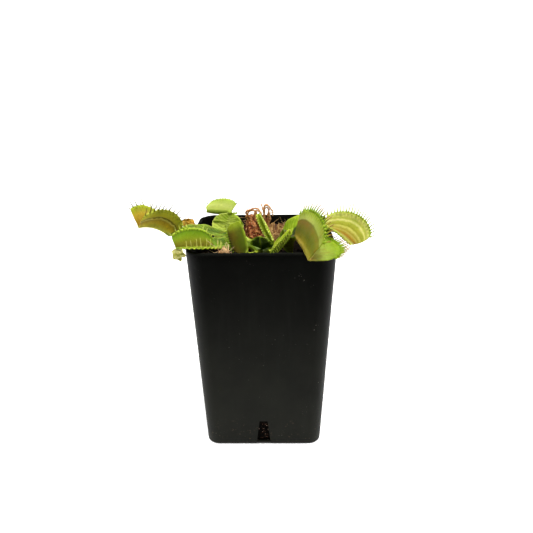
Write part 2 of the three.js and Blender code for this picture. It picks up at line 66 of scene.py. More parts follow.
def smoothstep(x, low, high):
    t = np.clip((x - low) / (high - low), 0, 1)
    return t * t * (3 - 2 * t)


def unit(v):
    return v / np.maximum(np.linalg.norm(v, axis=-1, keepdims=True), 1e-9)


def vector(*values):
    return np.array(values, dtype=float)


def hue(r, g, b):
    """A colour read off a picture, 0 to 255, as the light values that shaders take."""
    values = [v / 255 for v in (r, g, b)]
    return tuple(v / 12.92 if v <= 0.04045 else ((v + 0.055) / 1.055) ** 2.4 for v in values)


def put(name, data):
    """A new object in the scene."""
    made = bpy.data.objects.new(name, data)
    bpy.context.collection.objects.link(made)
    return made


# %% A skin of points, faces and marks
class Skin:
    """Points in millimetres with faces and marks, gathered until they become one mesh."""

    def __init__(self):
        self.points = []
        self.faces = []
        self.marks = {}
        self.count = 0

    def add(self, points, faces, **marks):
        points = np.asarray(points, dtype=float).reshape(-1, 3)
        self.points.append(points)
        self.faces += [tuple(i + self.count for i in face) for face in faces]
        for name in set(self.marks) | set(marks):
            if name not in self.marks:
                self.marks[name] = [np.zeros(self.count)]
            values = marks.get(name, 0.0)
            self.marks[name].append(np.broadcast_to(np.asarray(values, float).ravel(), len(points)))
        self.count += len(points)

    def loft(self, rings, **marks):
        """A closed body through rings of points, with both ends capped."""
        count = len(rings[0])
        total = len(rings) * count
        faces = grid_faces(len(rings), count, closed=True)
        faces += [tuple(range(count))[::-1], tuple(range(total - count, total))]
        self.add(np.concatenate(rings), faces, **marks)

    def piece(self, name, finish, slot, nodes=()):
        mesh = bpy.data.meshes.new(name)
        mesh.from_pydata((np.concatenate(self.points) * MM).tolist(), [], self.faces)
        for mark, values in self.marks.items():
            layer = mesh.attributes.new(mark, "FLOAT", "POINT")
            layer.data.foreach_set("value", np.concatenate(values).astype(np.float32))
        mesh.polygons.foreach_set("use_smooth", [True] * len(mesh.polygons))
        mesh.materials.append(finish)
        made = put(name, mesh)
        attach(made, "root")
        if nodes:
            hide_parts(*nodes)
        print(f"{name}: {len(mesh.polygons)} faces")
        return made


def grid_faces(rows, columns, start=0, closed=False, flip=False):
    """Quads over a grid of points, row by row. A closed grid joins its last column to its first."""
    faces = []
    for i in range(rows - 1):
        for j in range(columns if closed else columns - 1):
            k = (j + 1) % columns
            a, b = start + i * columns + j, start + i * columns + k
            face = (a, b, b + columns, a + columns)
            faces.append(face[::-1] if flip else face)
    return faces


def tube(skin, path, radii, sides, **marks):
    """A closed round tube along a path, with a frame that is carried along without twisting."""
    path = np.asarray(path, float)
    along = unit(np.gradient(path, axis=0))
    normal = unit(np.cross(along[0], vector(0.31, 0.17, 0.93)))
    rings = []
    for centre, forward, radius in zip(path, along, np.broadcast_to(radii, len(path))):
        normal = unit(normal - forward * normal.dot(forward))
        binormal = np.cross(forward, normal)
        turn = np.linspace(0, 2 * math.pi, sides, endpoint=False)[:, None]
        rings.append(centre + radius * (np.cos(turn) * normal + np.sin(turn) * binormal))
    count = len(path)
    faces = grid_faces(count, sides, closed=True)
    first = count * sides
    end = first - sides
    for j in range(sides):
        k = (j + 1) % sides
        faces += [(first, k, j), (first + 1, end + j, end + k)]
    for name, values in marks.items():
        values = np.broadcast_to(values, count)
        marks[name] = np.concatenate([np.repeat(values, sides), values[[0, -1]]])
    skin.add(np.concatenate([*rings, path[:1], path[-1:]]), faces, **marks)


# %% A smooth curve through points
class Curve:
    """A centripetal Catmull-Rom curve, read by the share of its length."""

    def __init__(self, points, steps=160):
        points = [np.asarray(p, float) for p in points]
        points = [2 * points[0] - points[1]] + points + [2 * points[-1] - points[-2]]
        samples = []
        for p0, p1, p2, p3 in zip(points, points[1:], points[2:], points[3:]):
            steps_between = (p1 - p0, p2 - p1, p3 - p2)
            d0, d1, d2 = (max(np.linalg.norm(step) ** 0.5, 1e-4) for step in steps_between)
            t1 = ((p1 - p0) / d0 - (p2 - p0) / (d0 + d1) + (p2 - p1) / d1) * d1
            t2 = ((p2 - p1) / d1 - (p3 - p1) / (d1 + d2) + (p3 - p2) / d2) * d1
            for t in np.linspace(0, 1, steps, endpoint=False):
                near = (2 * t**3 - 3 * t**2 + 1) * p1 + (t**3 - 2 * t**2 + t) * t1
                samples.append(near + (3 * t**2 - 2 * t**3) * p2 + (t**3 - t**2) * t2)
        samples.append(points[-2])
        self.samples = np.array(samples)
        gaps = np.linalg.norm(np.diff(self.samples, axis=0), axis=1)
        reached = np.concatenate([[0], np.cumsum(gaps)])
        self.length = reached[-1]
        self.shares = reached / self.length

    def at(self, share):
        return np.stack([np.interp(share, self.shares, self.samples[:, k]) for k in range(3)], axis=-1)

    def along(self, share):
        share = np.asarray(share, float)
        return unit(self.at(np.clip(share + 1e-3, 0, 1)) - self.at(np.clip(share - 1e-3, 0, 1)))


# %% [markdown]
# ## The camera
# The pot's outline gives the view: a little above the rim, turned hardly at all, and as near as a
# telephone is held. The lens and place come from fitting the pot's corners, in the pot's own frame.

# %% Camera
VIEW = {
    "at": vector(6.745, -287.2, 198.76),
    "down": 0.3449,  # radians below the horizon
    "left": 0.016,  # radians to the left
    "roll": -0.0116,
    "sees": 542.7 / 533,  # focal length over the width of the picture
}


def make_camera():
    down, left, roll = VIEW["down"], VIEW["left"], VIEW["roll"]
    ahead = vector(-math.sin(left), math.cos(left), 0)
    right = vector(math.cos(left), math.sin(left), 0)
    forward = ahead * math.cos(down) - vector(0, 0, math.sin(down))
    up = ahead * math.sin(down) + vector(0, 0, math.cos(down))
    across = right * math.cos(roll) + up * math.sin(roll)
    upward = up * math.cos(roll) - right * math.sin(roll)
    data = bpy.data.cameras.new("camera")
    data.lens = data.sensor_width * VIEW["sees"]
    data.clip_start = 0.01
    camera = put("camera", data)
    turn = Matrix((across, upward, -forward)).transposed().to_4x4()
    camera.matrix_world = Matrix.Translation(VIEW["at"] * MM) @ turn
    bpy.context.scene.camera = camera
    print("camera lens", round(data.lens, 2), "mm")


make_camera()

# %% [markdown]
# ## Shader maths
# A finish is a graph of nodes, but it reads better as sums. Wire wraps one socket, and its
# operators add Math nodes: `1 - mask` is a node. Colours must not go through Math nodes, which turn
# them grey, so `mix` blends them with a Mix node. Every other node comes from `node`.


# %% Wires
class Wire:
    """A socket of a node tree that can be used in sums."""

    def __init__(self, tree, socket=None):
        self.tree = tree
        self.socket = socket

    def node(self, kind, inputs=None, output=0, stops=(), **settings):
        """Adds a node: first its settings or a ramp's stops, then the values or links it takes."""
        made = self.tree.nodes.new("ShaderNode" + kind)
        for name, value in settings.items():
            setattr(made, name, value)
        for k, (place, *colour) in enumerate(stops):
            bar = made.color_ramp.elements
            mark = bar[k] if k < 2 else bar.new(place)
            mark.position = place
            mark.color = (*hue(*colour), 1)
        for name, value in (inputs or {}).items():
            if isinstance(value, Wire):
                self.tree.links.new(value.socket, made.inputs[name])
            else:
                made.inputs[name].default_value = value
        return Wire(self.tree, made.outputs[output])

    def math(self, operation, *values):
        return self.node("Math", dict(enumerate(values)), operation=operation)

    def __add__(self, other):
        return self.math("ADD", self, other)

    def __sub__(self, other):
        return self.math("SUBTRACT", self, other)

    def __rsub__(self, other):
        return self.math("SUBTRACT", other, self)

    def __mul__(self, other):
        return self.math("MULTIPLY", self, other)

    __radd__ = __add__
    __rmul__ = __mul__

    def sine(self):
        return self.math("SINE", self)

    def size(self):
        return self.math("ABSOLUTE", self)

    def step(self, low, high):
        """0 below low and 1 above high, or the other way round, with a soft change between."""
        values = {"Value": self, "From Min": low, "From Max": high}
        return self.node("MapRange", values, interpolation_type="SMOOTHSTEP", clamp=True)

    def mix(self, a, b):
        """Colour a where this wire is 0, and b where it is 1."""
        a, b = (c if isinstance(c, Wire) else (*hue(*c), 1) for c in (a, b))
        return self.node("Mix", {0: self, 6: a, 7: b}, output=2, data_type="RGBA")

    def tinted(self, r, g, b):
        """This colour seen through a tint, where 1 lets all of the light through."""
        inputs = {0: 1.0, 6: self, 7: (r, g, b, 1)}
        return self.node("Mix", inputs, output=2, data_type="RGBA", blend_type="MULTIPLY")

    def ramp(self, *stops):
        """Colours along this wire. A stop is a place from 0 to 1, then red, green and blue."""
        return self.node("ValToRGB", {"Fac": self}, stops=stops)


# %% A finish
class Finish(Wire):
    """A material with its Principled shader, and the tree that feeds it."""

    def __init__(self, name, **constants):
        self.material = bpy.data.materials.new(name)
        self.material.use_nodes = True
        super().__init__(self.material.node_tree)
        self.shader = self.tree.nodes["Principled BSDF"]
        self.where = self.node("TexCoord", output=3)
        for socket, value in constants.items():
            self.shader.inputs[socket.replace("_", " ")].default_value = value

    def mark(self, name):
        return self.node("Attribute", output=2, attribute_name=name)

    def height(self):
        """Millimetres above the floor."""
        return self.node("SeparateXYZ", {0: self.where}, output=2) * 1000

    def cloud(self, size, detail=3, roughness=0.55, stretch=None):
        """Soft noise from 0 to 1 whose blots are about `size` millimetres across."""
        where = self.where
        if stretch:
            where = self.node("VectorMath", {0: where, 1: stretch}, operation="MULTIPLY")
        inputs = {"Vector": where, "Scale": 1000 / size, "Detail": detail, "Roughness": roughness}
        return self.node("TexNoise", inputs)

    def bump(self, height, distance):
        return self.node("Bump", {"Height": height, "Distance": distance * MM, "Strength": 1.0})

    def feed(self, **wires):
        for socket, wire in wires.items():
            self.tree.links.new(wire.socket, self.shader.inputs[socket.replace("_", " ")])

    def let_light_through(self, colour, share):
        """Mixes in a translucent shader, for a thin leaf that glows with light from behind."""
        glow = self.node("BsdfTranslucent", {"Color": (*hue(*colour), 1)})
        mixed = self.node("MixShader", {0: share, 1: Wire(self.tree, self.shader.outputs[0]), 2: glow})
        self.tree.links.new(mixed.socket, self.tree.nodes["Material Output"].inputs["Surface"])


# %% [markdown]
# ## The pot
# A thin pot of black plastic, drawn down into a mould: straight walls that taper to the foot, round
# corners, a plain rim, a drain slot low in each side and a groove under each side of the foot. It is
# lofted from square rings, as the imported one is, but with rounder corners and a soft lip, and the
# slots and grooves are cut with the same wedges.

# %% Pot measures
POT = {"height": 116, "top": 76, "foot": 64, "wall": 1.2, "floor": 1.6}
POT |= {"top_corner": 10, "foot_corner": 7}
FOOT_EDGE = 1.5
LIP = 0.45
CORNER_POINTS = 14
SLOT = {"low": 2.4, "high": 16, "low_width": 7.6, "high_width": 4.4, "depth": 9}
GROOVE = {"width": 10, "flank": 1, "height": 0.8, "depth": 22}


def square_ring(half, radius, z):
    """A square with round corners, anticlockwise from above."""
    inner = half - radius
    ring = []
    for k, (cx, cy) in enumerate(((1, -1), (1, 1), (-1, 1), (-1, -1))):
        start = math.radians(90 * k - 90)
        for t in np.linspace(start, start + math.pi / 2, CORNER_POINTS):
            ring.append((cx * inner + radius * math.cos(t), cy * inner + radius * math.sin(t), z))
    return np.array(ring)


def outer_half(z):
    return lerp(POT["foot"], POT["top"], z / POT["height"]) / 2


def pot_ring(z, inset=0.0, level=None):
    """The pot's outline, drawn in by `inset`, at height z but as wide as it is at `level`."""
    level = z if level is None else level
    corner = lerp(POT["foot_corner"], POT["top_corner"], level / POT["height"])
    return square_ring(outer_half(level) - inset, corner - inset, z)


# %% Pot mesh
def pot_rings():
    """Round the edge of the foot, up the outside, over the lip and down the inside to the floor."""
    top, wall, floor = POT["height"], POT["wall"], POT["floor"]
    rings = []
    for turn in np.radians([90, 70, 50, 30, 12, 0]):
        rings.append(pot_ring(FOOT_EDGE * (1 - math.sin(turn)), FOOT_EDGE * (1 - math.cos(turn))))
    rings += [pot_ring(z) for z in np.linspace(FOOT_EDGE, top - LIP, 24)[1:]]
    for turn in np.radians([30, 60, 90]):
        rings.append(pot_ring(top - LIP * (1 - math.sin(turn)), LIP * (1 - math.cos(turn)), top))
    for turn in np.radians([90, 60, 30, 0]):
        inset = wall - LIP * (1 - math.cos(turn))
        rings.append(pot_ring(top - LIP * (1 - math.sin(turn)), inset, top))
    rings += [pot_ring(z, wall) for z in np.linspace(top - LIP, floor + 1, 16)[1:]]
    rings.append(pot_ring(floor, wall))
    return rings


def wedge(low, high, z0, z1, depth, turn):
    """A cutter for one side, `low` wide at height z0 and `high` wide at z1."""
    half = POT["top"] / 2
    ends = [(-low / 2, z0), (low / 2, z0), (high / 2, z1), (-high / 2, z1)]
    points = [(x, -half, z) for x, z in ends] + [(x, depth - half, z) for x, z in ends]
    faces = [(0, 1, 2, 3), (7, 6, 5, 4), (0, 4, 5, 1), (1, 5, 6, 2), (2, 6, 7, 3), (3, 7, 4, 0)]
    mesh = bpy.data.meshes.new("wedge")
    mesh.from_pydata((np.array(points) * MM).tolist(), [], faces)
    mesh.transform(Matrix.Rotation(math.radians(turn), 4, "Z"))
    return put("wedge", mesh)


def cut(piece, cutter):
    """Takes the cutter's shape out of a piece."""
    step = piece.modifiers.new("cut", "BOOLEAN")
    step.operation = "DIFFERENCE"
    step.solver = "EXACT"
    step.object = cutter
    result = piece.evaluated_get(bpy.context.evaluated_depsgraph_get())
    mesh = bpy.data.meshes.new_from_object(result)
    piece.modifiers.clear()
    piece.data = mesh
    bpy.data.objects.remove(cutter)


# %% Pot finish
def pot_finish():
    """Black plastic with random streaks, specks of dust and splashes of soil.

    It is painted near black under the rim and lighter towards the foot, as painted shade and painted
    floor light, and a painted highlight runs along the rim.
    """
    finish = Finish("black_plastic", Specular_IOR_Level=0.06)
    height = finish.height()
    streaks = finish.cloud(3, stretch=(1, 1, 0.06))
    patches = finish.cloud(22)
    specks = finish.cloud(0.8, detail=2).step(0.7, 0.76) * finish.cloud(9).step(0.5, 0.68)
    splash = finish.cloud(1.6).step(0.6, 0.72) * height.step(26, 4)
    rim = height.step(114.6, 115.4)
    blots = patches.step(0.3, 0.7)
    # painted shade and painted floor light: near black under the rim, lighter towards the foot
    painted_dark_top, painted_light_foot = blots.mix((1, 1, 0), (2, 3, 1)), blots.mix((9, 10, 5), (17, 18, 12))
    base = height.step(118, 40).mix(painted_dark_top, painted_light_foot)
    base = (streaks.step(0.5, 0.75) * height.step(118, 80) * 0.3).mix(base, (20, 21, 17))
    # painted highlight: a lighter band along the top of the rim
    base = (rim * 0.6).mix(base, (20, 21, 16))
    base = (splash * 0.25).mix(base, (92, 78, 60))
    base = (specks * 0.45).mix(base, (170, 166, 150))
    rough = 0.4 + patches * 0.14 + specks * 0.3 + splash * 0.2 + streaks * 0.06 + rim * 0.35
    grain = finish.cloud(0.35, detail=2)
    relief = finish.bump(grain * 0.6 + streaks * 0.8 + specks, 0.05)
    finish.feed(Base_Color=base, Roughness=rough, Normal=relief)
    return finish.material


# %% Make the pot
def make_pot():
    skin = Skin()
    skin.loft(pot_rings())
    pot = skin.piece("nursery_pot", pot_finish(), "pot", ["pot"])
    slot = [SLOT[key] for key in ("low_width", "high_width", "low", "high", "depth")]
    flank = GROOVE["flank"]
    roof = GROOVE["width"] - 2 * flank
    for turn in (0, 90, 180, 270):
        cut(pot, wedge(*slot, turn))
        cut(pot, wedge(GROOVE["width"], roof, -flank, GROOVE["height"], GROOVE["depth"], turn))
    pot.data.set_sharp_from_angle(angle=math.radians(30))
    print("pot with its slots:", len(pot.data.polygons), "faces")


make_pot()

# %% [markdown]
# ## The soil
# Damp dark peat, filled to a finger's width below the rim. One closed block fills the pot, with the
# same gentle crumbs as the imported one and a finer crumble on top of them, and loose crumbs lie on it.

# %% Soil measures
GAP = 0.3
SOIL_LEVEL = 105
STREWN = 34.5  # crumbs lie this far out


def soil_height(x, y):
    crumbs = np.sin(0.62 * x + 1.4 * np.sin(0.35 * y)) * np.cos(0.55 * y - 0.22 * x)
    return SOIL_LEVEL + 0.5 * crumbs


def rough_height(x, y):
    fine = noise.fractal(Vector((x * 0.45, y * 0.45, 2.0)), 0.8, 2.1, 4)
    return soil_height(x, y) + 0.55 * fine


# %% Soil finish
def soil_finish():
    """Black peat with brown grains, and the pale roots that show low down, through the slots."""
    finish = Finish("damp_peat", Specular_IOR_Level=0.03)
    clods = finish.cloud(2.6, detail=5)
    grains = finish.cloud(0.7, detail=4)
    base = clods.ramp((0.3, 4, 3, 1), (0.5, 14, 9, 4), (0.7, 38, 25, 13))
    base = (grains.step(0.62, 0.74) * 0.4).mix(base, (104, 74, 46))
    roots = finish.cloud(1.9, detail=5, roughness=0.8)
    low = roots.ramp((0.56, 4, 3, 2), (0.63, 66, 44, 32), (0.7, 232, 222, 204))
    base = finish.height().step(80, 60).mix(base, low)
    relief = finish.bump(clods * 1.2 + grains, 0.5)
    finish.feed(Base_Color=base, Roughness=0.75 + grains * 0.25, Normal=relief)
    return finish.material


# %% Make the soil
def make_soil(finish):
    """A closed block: up beside the pot's walls, then inwards over the rough top."""
    inset = POT["wall"] + GAP
    heights = [POT["floor"] + GAP, *np.linspace(6, SOIL_LEVEL - 1.5, 12)]
    rings = [pot_ring(z, inset) for z in heights]
    edge = pot_ring(SOIL_LEVEL, inset)
    for share in np.linspace(1, 0.012, 70):
        ring = edge * (share, share, 1)
        ring[:, 2] = [rough_height(x, y) for x, y, _ in ring]
        rings.append(ring)
    skin = Skin()
    skin.loft(rings)
    skin.piece("soil_block", finish, "soil", ["soil"])


def lump(centre, radius, draw):
    """A crumb: a small ball pushed about by noise."""
    ball = bmesh.new()
    bmesh.ops.create_icosphere(ball, subdivisions=2 if radius > 0.7 else 1, radius=1)
    offset = Vector([draw.random() * 50 for _ in range(3)])
    squash = vector(draw.uniform(0.7, 1.3), draw.uniform(0.7, 1.3), draw.uniform(0.5, 0.9))
    points = []
    for vertex in ball.verts:
        swell = 1 + 0.45 * noise.noise(vertex.co * 1.6 + offset)
        points.append(centre + radius * swell * squash * np.array(vertex.co))
    faces = [tuple(v.index for v in face.verts) for face in ball.faces]
    ball.free()
    return points, faces


def scatter_crumbs(finish, count):
    """Loose crumbs on the soil, many small and few large."""
    draw = random.Random(4)
    skin = Skin()
    for _ in range(count):
        x, y = draw.uniform(-STREWN, STREWN), draw.uniform(-STREWN, STREWN)
        radius = 0.35 + 1.1 * draw.random() ** 3
        points, faces = lump(vector(x, y, soil_height(x, y) + 0.25 * radius), radius, draw)
        skin.add(points, faces)
    skin.piece("soil_crumbs", finish, "soil")


peat = soil_finish()
make_soil(peat)
scatter_crumbs(peat, 900)

# %% [markdown]
# ## The crown
# A low bulb of pale leaf bases, half buried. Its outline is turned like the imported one, and the
# bases are modelled as swellings that wrap round it and come to a lip at their tops.

# %% Crown
CROWN = {"x": 1, "y": 1, "seat": 104.8, "outer": 4.9, "inner": 1.9}
CROWN_OUTLINE = [
    (0.4, 93), (2.5, 93.2), (6.3, 97), (7.4, 102),
    (6.9, 105), (5.6, 106.8), (3, 108.2), (0.3, 108.4),
]


def crown_finish():
    finish = Finish("pale_leaf_bases", Roughness=0.45)
    fibres = finish.cloud(0.6, stretch=(1, 1, 0.12))
    base = finish.height().step(101, 108).mix((206, 198, 168), (128, 158, 66))
    base = (fibres.step(0.45, 0.7) * 0.4).mix(base, (168, 120, 84))
    finish.feed(Base_Color=base, Normal=finish.bump(fibres, 0.15))
    return finish.material


def make_crown():
    outline = Curve([vector(r, 0, z) for r, z in CROWN_OUTLINE]).at(np.linspace(0, 1, 40))
    turns = np.linspace(0, 2 * math.pi, 72, endpoint=False)
    rings = []
    for radius, _, z in outline:
        lap = np.abs(np.sin(4.5 * turns + (z - CROWN_OUTLINE[0][1]) * 0.12))
        wide = radius * (0.93 + 0.09 * lap**0.6)
        x, y = CROWN["x"] + wide * np.cos(turns), CROWN["y"] + wide * np.sin(turns)
        rings.append(np.stack([x, y, z + 0.2 * lap], axis=-1))
    skin = Skin()
    skin.loft(rings)
    skin.piece("crown_bulb", crown_finish(), "crown", ["crown"])


make_crown()

# %% [markdown]
# ## The leaves, measured
# Every leaf is one piece of living tissue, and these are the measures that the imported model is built
# from. A stalk starts at a seat on the crown (an angle and a ring) and runs through its points to the
# trap. A trap's midrib runs from joint to tip, bowed by `arch`, and opens towards `mouth`. Each lobe
# leaves the midrib at its hinge angle and ends at its edge angle, both measured from the mouth and
# given for the two ends of the midrib. `ends` is a lobe's width at those two ends, as a share of the
# full one, and `fan` how far its edge spreads past them. Only the teeth, creases and wear are new.

# %% Leaf measures
def stalk(seat, points, **measures):
    return dict(seat=seat, points=points, widest=0.6, fold=0.3, wave=0, ruffle=0.05) | measures


def trap(joint, tip, mouth, **measures):
    usual = dict(fan=(0.04, 0.04), ends=(0.6, 0.6), soft=(0.1, 0.1), thick=0.26, crumple=0.35)
    usual |= dict(lost=0, crease=0, curl=0)
    return dict(joint=vector(*joint), tip=vector(*tip), mouth=vector(*mouth)) | usual | measures


OUTER, INNER = CROWN["outer"], CROWN["inner"]
LEAVES = {
    "leaf_far_left": dict(
        stalk=stalk(
            (188, OUTER), [(-8, 0, 109.2), (-22, -2.5, 115), (-37, -5.5, 118.8)],
            face=(0, -0.25, 1), width=9, fold=0.25, wave=0.05,
        ),
        trap=trap(
            joint=(-50.3, -6.6, 116.6), tip=(-62.2, -21.5, 125.1), mouth=(0.07, 0.45, 0.89),
            arch=2, width=11.8, fan=(0.22, 0.15), ends=(0.61, 0.78),
            right=((30, -2), (52, 16)), left=((35, 62), (28, 52)),
            teeth=12, tooth=8, lean=0.05, lost=0.25, crease=0.6,
        ),
    ),
    "leaf_front_left": dict(
        stalk=stalk(
            (222, OUTER), [(-7, -4.5, 109.3), (-14, -8.5, 110.4), (-20.5, -14.5, 112.4)],
            face=(0.25, -0.4, 0.85), width=11, widest=0.72, wave=0.05, ruffle=0.14,
        ),
        trap=trap(
            joint=(-25.1, -22.9, 114.6), tip=(-41.5, -34.6, 118), mouth=(0.49, -0.46, 0.74),
            arch=0.8, width=9.7, fan=(0.08, 0.08), ends=(0.42, 0.6),
            right=((74, 64), (82, 70)), left=((39, 42), (43, 32)),
            teeth=11, tooth=5, lean=0.5, curl=1.7, lost=0.15,
        ),
    ),
    "leaf_back_left": dict(
        stalk=stalk(
            (124, OUTER), [(-6, 7, 108.4), (-14.5, 7, 110.4), (-19.8, 6.8, 115), (-19, 6.6, 120)],
            face=(0.34, -0.8, 0.47), width=18, widest=0.7, fold=0.12, wave=0.04,
        ),
        trap=trap(
            joint=(-17.7, 6.8, 125.4), tip=(-31.2, 11.4, 125.2), mouth=(0.33, 0.92, -0.19),
            arch=0.2, width=8.5, fan=(0.16, 0.16), ends=(0.6, 0.42),
            right=((43, 36), (-24, -29)), left=((59, 54), (56, 42)),
            teeth=12, tooth=3.6, lean=0.2, thick=0.2, soft=(0.02, 0.36),
        ),
    ),
    "leaf_small_left": dict(
        stalk=stalk(
            (256, OUTER), [(-1.4, -8, 107.4), (-5, -15, 108.2)],
            face=(-0.3, 0, 1), width=5,
        ),
        trap=trap(
            joint=(-7.6, -21.7, 110.8), tip=(-11.6, -19.2, 127), mouth=(-0.82, 0.48, -0.3),
            arch=-1.2, width=8.4, fan=(0.05, 0.05), ends=(0.5, 0.8),
            right=((59, 55), (30, 30)), left=((64, 61), (30, 30)),
            teeth=13, tooth=2.4, lean=0.5, thick=0.3, soft=(0.56, 0.4),
        ),
    ),
    "leaf_centre": dict(
        stalk=stalk(
            (345, INNER), [(4.6, -2.6, 108.6)],
            face=(-1, -0.4, 0.4), width=2.6,
        ),
        trap=trap(
            joint=(5.6, -5.4, 111.6), tip=(-2, -1, 126), mouth=(-0.1, -0.95, 0.2),
            arch=-0.6, width=5, ends=(0.75, 0.6),
            right=((48, 48), (-14, -14)), left=((48, 48), (-14, -14)),
            teeth=12, tooth=1.5, lean=0.9,
        ),
    ),
    "leaf_small_right": dict(
        stalk=stalk(
            (291, OUTER), [(4.4, -8.5, 107.8)],
            face=(0.6, -0.2, 0.8), width=3.4,
        ),
        trap=trap(
            joint=(5.2, -18.4, 110.4), tip=(14.4, -22.6, 123), mouth=(0.3, -0.95, 0.1),
            arch=-0.5, width=4.4,
            right=((50, 48), (-14, -14)), left=((50, 48), (-14, -14)),
            teeth=12, tooth=2.2, lean=0.6, thick=0.3,
        ),
    ),
    "leaf_front_right": dict(
        stalk=stalk(
            (338, OUTER), [(10.5, -2.5, 109.4), (15.5, -8, 113), (18, -14.5, 117)],
            face=(0.1, -0.8, 0.6), width=18, widest=0.5, fold=-0.15, wave=0.05,
        ),
        trap=trap(
            joint=(17.4, -21.4, 119.3), tip=(23, -48.3, 116.2), mouth=(0.93, 0.16, 0.34),
            arch=0.5, width=17.4, fan=(0.12, 0.12),
            right=((60, 48), (51, 31)), left=((32, 26), (19, 0)),
            teeth=19, tooth=5.8, lean=0.2, thick=0.46, soft=(0.14, 0.1),
        ),
    ),
    "leaf_far_right": dict(
        stalk=stalk(
            (18, OUTER), [(9.8, 3.5, 110.5), (17, 0.5, 117), (27, -2.5, 118.8)],
            face=(-0.3, -0.7, 0.65), width=14, widest=0.5, fold=0.25, wave=0.05,
        ),
        trap=trap(
            joint=(34.2, -2.7, 117.6), tip=(47.8, -17.1, 114), mouth=(0.28, -0.07, 0.96),
            arch=2.1, width=14.8, fan=(0.29, 0.16), ends=(0.64, 0.58),
            right=((67, 71), (85, 67)), left=((79, 81), (9, -3)),
            teeth=22, tooth=6, lean=0.1, thick=0.32,
        ),
    ),
    "leaf_cupped": dict(
        stalk=stalk(
            (262, INNER),
            [(0.6, -5.6, 109.7), (0, -10.4, 109.9), (-0.6, -13.4, 112.8), (-0.9, -14, 117.3)],
            face=(0.1, 0.55, 0.8), width=12.4, widest=0.46,
        ),
    ),
    "leaf_withered": dict(
        stalk=stalk(
            (157, OUTER), [(-9, 2.2, 106.4), (-24, 3, 106.6), (-31.6, 7.6, 109), (-33.6, 7, 116.4)],
            face=(0, 0, 1), width=2, widest=0.5, fold=0.2,
        ),
        trap=trap(
            joint=(-38.6, 5.4, 118.4), tip=(-44, 4.4, 118), mouth=(0.2, -0.3, 0.9),
            arch=0.4, width=3.6, fan=(0.1, 0.1),
            right=((40, 50), (10, 30)), left=((40, 30), (30, -10)),
            teeth=4, tooth=1.2, lean=0.3, thick=0.2, crumple=1.5,
        ),
    ),
}

# %% [markdown]
# ## Leaf forms
# The stalk is a sheet with wings that grow, round off and end in a thin neck, with a rib below and a
# channel above. A lobe is an arc that turns from its hinge angle to its edge angle; `reach` makes it
# longest in the middle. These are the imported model's own rules, sampled far more finely.

# %% Stalk form
THICK = 0.7
RIB_BASE, RIB_NECK = 1.1, 0.75
ROOTED = 6  # this much of a stalk's start is a plain round rib
NECK = 0.93  # the wings end here, as a share of the stalk
ACROSS, ROOT_RINGS, RINGS = 33, 8, 76  # points across each face, and rings along
WING, LOBE, TOOTH, HAIR, DEAD = 1, 2, 3, 4, 5  # what a point belongs to, in the mark `kind`


def midrib(t, s):
    """Point, tangent, opening and side of a trap's midrib at shares s of its length."""
    s = np.asarray(s, float)[..., None]
    along = t["tip"] - t["joint"]
    length = np.linalg.norm(along)
    along = along / length
    mouth = unit(t["mouth"] - along * t["mouth"].dot(along))
    tangent = unit(along + mouth * (4 * t["arch"] * (1 - 2 * s) / length))
    opening = unit(mouth - tangent * np.sum(mouth * tangent, axis=-1, keepdims=True))
    side = np.cross(tangent, opening)
    point = t["joint"] + along * length * s + mouth * 4 * t["arch"] * s * (1 - s)
    return point, tangent, opening, side, length


def wing_half_width(st, t):
    """Half the width over the wings at share t of a stalk."""
    grow = lerp(1, st["width"] / 2, smoothstep(t, 0, st["widest"]))
    past = np.clip((t - st["widest"]) / (1 - st["widest"]), 0, 1)
    return np.maximum(0.8, grow * np.sqrt(np.maximum(0, 1 - past**2.4)))


def stalk_curve(leaf):
    """From the seat on the crown, through the stalk's points, into the trap's midrib."""
    angle, ring = leaf["stalk"]["seat"]
    turn = math.radians(angle)
    points = [(CROWN["x"] + ring * math.cos(turn), CROWN["y"] + ring * math.sin(turn), CROWN["seat"])]
    points += leaf["stalk"]["points"]
    if "trap" in leaf:
        points += [leaf["trap"]["joint"], midrib(leaf["trap"], 0.12)[0]]
    return Curve(points)


